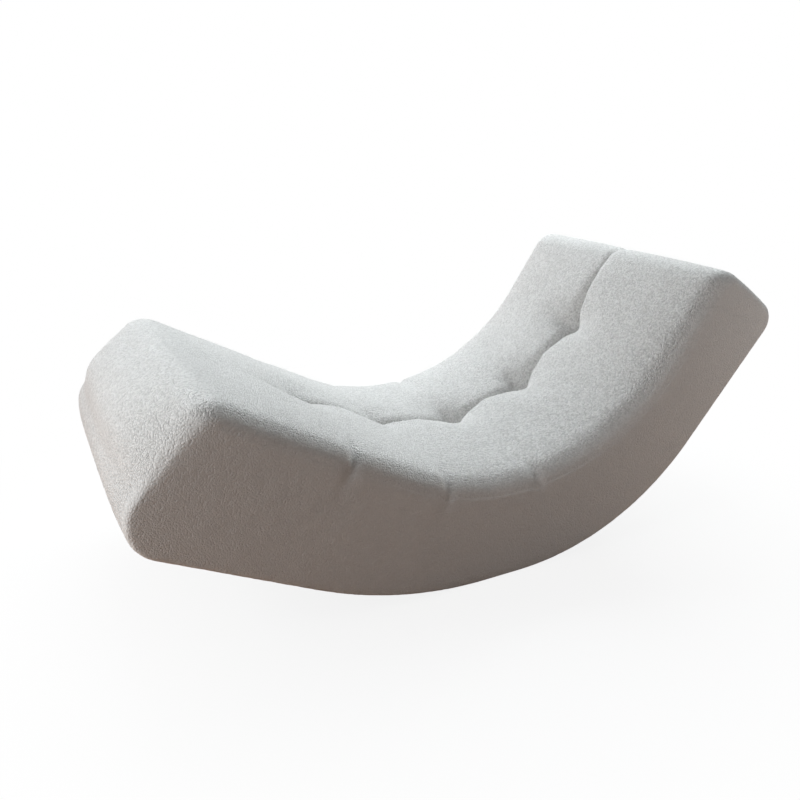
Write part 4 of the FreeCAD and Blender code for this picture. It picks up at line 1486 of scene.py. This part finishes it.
@dataclass
class Framework:
    """Finishes of the plywood, timber, fasteners, ties and toggles, which keep their CAD shape."""

    side_ply: WoodFinish = WoodFinish(
        "ply_sides", (0.50, 0.35, 0.20), (0.83, 0.68, 0.47), 0.62, 0.25, 0.0004,
        Axis.X, 5.0, 240.0, 0.0015
    )
    bent_ply: WoodFinish = WoodFinish(
        "ply_bent", (0.54, 0.39, 0.23), (0.82, 0.68, 0.48), 0.6, 0.25, 0.0004,
        Axis.Y, 5.0, 240.0
    )
    rail_wood: WoodFinish = WoodFinish(
        "rail_wood", (0.52, 0.35, 0.19), (0.86, 0.70, 0.48), 0.66, 0.35, 0.0005,
        Axis.Y, 16.0, 300.0
    )
    toggle_wood: WoodFinish = WoodFinish(
        "toggle_wood", (0.42, 0.28, 0.15), (0.76, 0.59, 0.39), 0.5, 0.2, 0.0003,
        Axis.X, 60.0, 700.0
    )
    screw_steel: SteelFinish = SteelFinish(
        "screw_steel", (0.50, 0.48, 0.42), (0.72, 0.70, 0.63), 0.28
    )
    staple_steel: SteelFinish = SteelFinish(
        "staple_steel", (0.55, 0.55, 0.56), (0.76, 0.76, 0.77), 0.32
    )
    twine: FibreFinish = FibreFinish(
        "twine", (0.55, 0.52, 0.45), (0.80, 0.77, 0.71), 0.7, 0.8, 0.0006, 300.0, 1500.0
    )

    def build(self) -> None:
        """Put each finish on its CAD nodes."""
        nodes = {
            self.side_ply: ["side_frame_left", "side_frame_right",
                            "inner_rib_left", "inner_rib_right"],
            self.bent_ply: ["seat_deck", "base_skin", "foot_board", "head_board"],
            self.rail_wood: ["head_rail", "shoulder_rail", "lumbar_rail", "seat_rail",
                             "thigh_rail", "calf_rail", "base_rail_foot", "base_rail_middle",
                             "base_rail_head", "corner_blocks"],
            self.toggle_wood: ["tuft_toggles"],
            self.screw_steel: ["rail_screws"],
            self.staple_steel: ["base_staples"],
            self.twine: ["tuft_ties"],
        }
        for finish, names in nodes.items():
            mat = finish.material()
            for name in names:
                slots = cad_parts[name].data.materials
                slots.clear()
                slots.append(mat)
            LOG.info("%s: %d nodes", finish.name, len(names))


@dataclass(frozen=True)
class Lamp:
    """Square soft light: where it hangs, its side in metres, its watts and its tint."""

    name: str
    place: Colour
    size: float
    power: float
    tint: Colour


@dataclass(frozen=True)
class Studio:
    """Pale floor, soft light from behind and from the foot end, and the photograph's camera."""

    eye: Colour = (-0.8897, -1.5951, 0.9805)
    azimuth: float = 26.84
    dip: float = 20.29
    lens: float = 35.32
    sensor: float = 36.0
    floor_half: float = 9.0
    floor_warm: Colour = (0.43, 0.27, 0.19)
    floor_pale: Colour = (0.9, 0.9, 0.9)
    floor_glow: float = 0.86
    glow_begin: float = 0.4
    glow_end: float = 1.3
    aim: Colour = (0.0, 0.0, 0.3)
    fill: Colour = (0.004, 0.003, 0.003)
    lamps: tuple[Lamp, ...] = (
        Lamp("far_high", (0.0, 2.2, 2.3), 1.8, 78.0, (0.92, 0.97, 1.0)),
        Lamp("head_window", (1.9, 1.2, 1.9), 1.4, 54.0, (0.92, 0.99, 1.0)),
        Lamp("foot_lamp", (-2.3, -0.42, 1.3), 1.2, 36.5, (0.97, 0.99, 1.0)),
        Lamp("head_side", (1.7, -1.1, 0.8), 1.0, 7.4, (0.96, 0.99, 1.0)),
    )

    @staticmethod
    def hang(data: bpy.types.ID, place: Colour, turn: Colour) -> bpy.types.Object:
        """New camera or lamp object in the scene, turned by angles in radians."""
        obj = bpy.data.objects.new(data.name, data)
        obj.location = place
        obj.rotation_euler = Euler(turn)
        bpy.context.scene.collection.objects.link(obj)
        return obj

    def camera(self) -> None:
        """Level camera at the photograph's place, along its azimuth and down by its dip."""
        data = bpy.data.cameras.new("camera")
        data.lens = self.lens
        data.sensor_width = self.sensor
        turn = (math.radians(90 - self.dip), 0.0, math.radians(-self.azimuth))
        bpy.context.scene.camera = self.hang(data, self.eye, turn)

    @staticmethod
    def seen(n: Nodes) -> Socket:
        """1 for rays that show the background: from the camera, in a gloss or through glass."""
        rays = n.add("ShaderNodeLightPath").outputs
        other = n.math("MAXIMUM", rays["Is Glossy Ray"], rays["Is Transmission Ray"])
        return n.math("MAXIMUM", rays["Is Camera Ray"], other)

    def floor(self) -> None:
        """Pale floor: white from afar, with the object's shadow near it and a warm bounce."""
        h = self.floor_half
        points = np.array([[-h, -h, 0], [h, -h, 0], [h, h, 0], [-h, h, 0]], float)
        floor = MeshMaker.make("floor", points, np.array([[0, 1, 2, 3]]), smooth=False)
        mat = bpy.data.materials.new("floor")
        mat.use_nodes = True
        nodes = mat.node_tree.nodes
        n = Nodes(mat.node_tree)
        nodes.remove(nodes["Principled BSDF"])
        length = {"operation": "LENGTH"}
        away = n.add("ShaderNodeVectorMath", length, {0: n.place()}).outputs["Value"]
        far = n.step(away, self.glow_begin, self.glow_end)
        share = n.math("MULTIPLY_ADD", far, 1 - self.floor_glow, self.floor_glow)
        warm, pale = (
            n.add("ShaderNodeBsdfDiffuse", None, {"Color": (*colour, 1.0)}).outputs[0]
            for colour in (self.floor_warm, self.floor_pale)
        )
        glow = n.add("ShaderNodeEmission", None, {"Color": WHITE, "Strength": 1.0}).outputs[0]
        white = n.add("ShaderNodeMixShader", None, {0: share, 1: pale, 2: glow}).outputs[0]
        both = n.add("ShaderNodeMixShader", None, {0: self.seen(n), 1: warm, 2: white})
        n.link(both.outputs[0], nodes["Material Output"].inputs["Surface"])
        floor.data.materials.append(mat)

    def world(self) -> None:
        """White backdrop for the camera and a weak warm fill for the object."""
        world = bpy.data.worlds.new("studio")
        bpy.context.scene.world = world
        world.use_nodes = True
        n = Nodes(world.node_tree)
        colour = n.mix(self.seen(n), (*self.fill, 1.0), WHITE)
        n.link(colour, world.node_tree.nodes["Background"].inputs["Color"])

    def light(self, lamp: Lamp) -> None:
        """Hang one lamp, facing the lounge."""
        data = bpy.data.lights.new(lamp.name, "AREA")
        data.size = lamp.size
        data.energy = lamp.power
        data.color = lamp.tint
        x, y, z = np.array(self.aim) - np.array(lamp.place)
        tilt = math.acos(-z / math.sqrt(x * x + y * y + z * z))
        self.hang(data, lamp.place, (tilt, 0.0, math.atan2(-x, y)))

    def build(self) -> None:
        """Set up camera, floor, world and lamps."""
        self.camera()
        self.floor()
        self.world()
        for lamp in self.lamps:
            self.light(lamp)
        bpy.context.scene.view_settings.view_transform = "Standard"


def main() -> None:
    """Build the dressed lounge and its studio."""
    logging.basicConfig(level=logging.INFO, format="%(message)s")
    EffectGroups.build()
    Studio().build()
    skin = CoverSkin()
    Covers(skin).build()
    Padding(skin).build()
    RockerBase(skin).build()
    Framework().build()


if __name__ == "__main__":
    main()
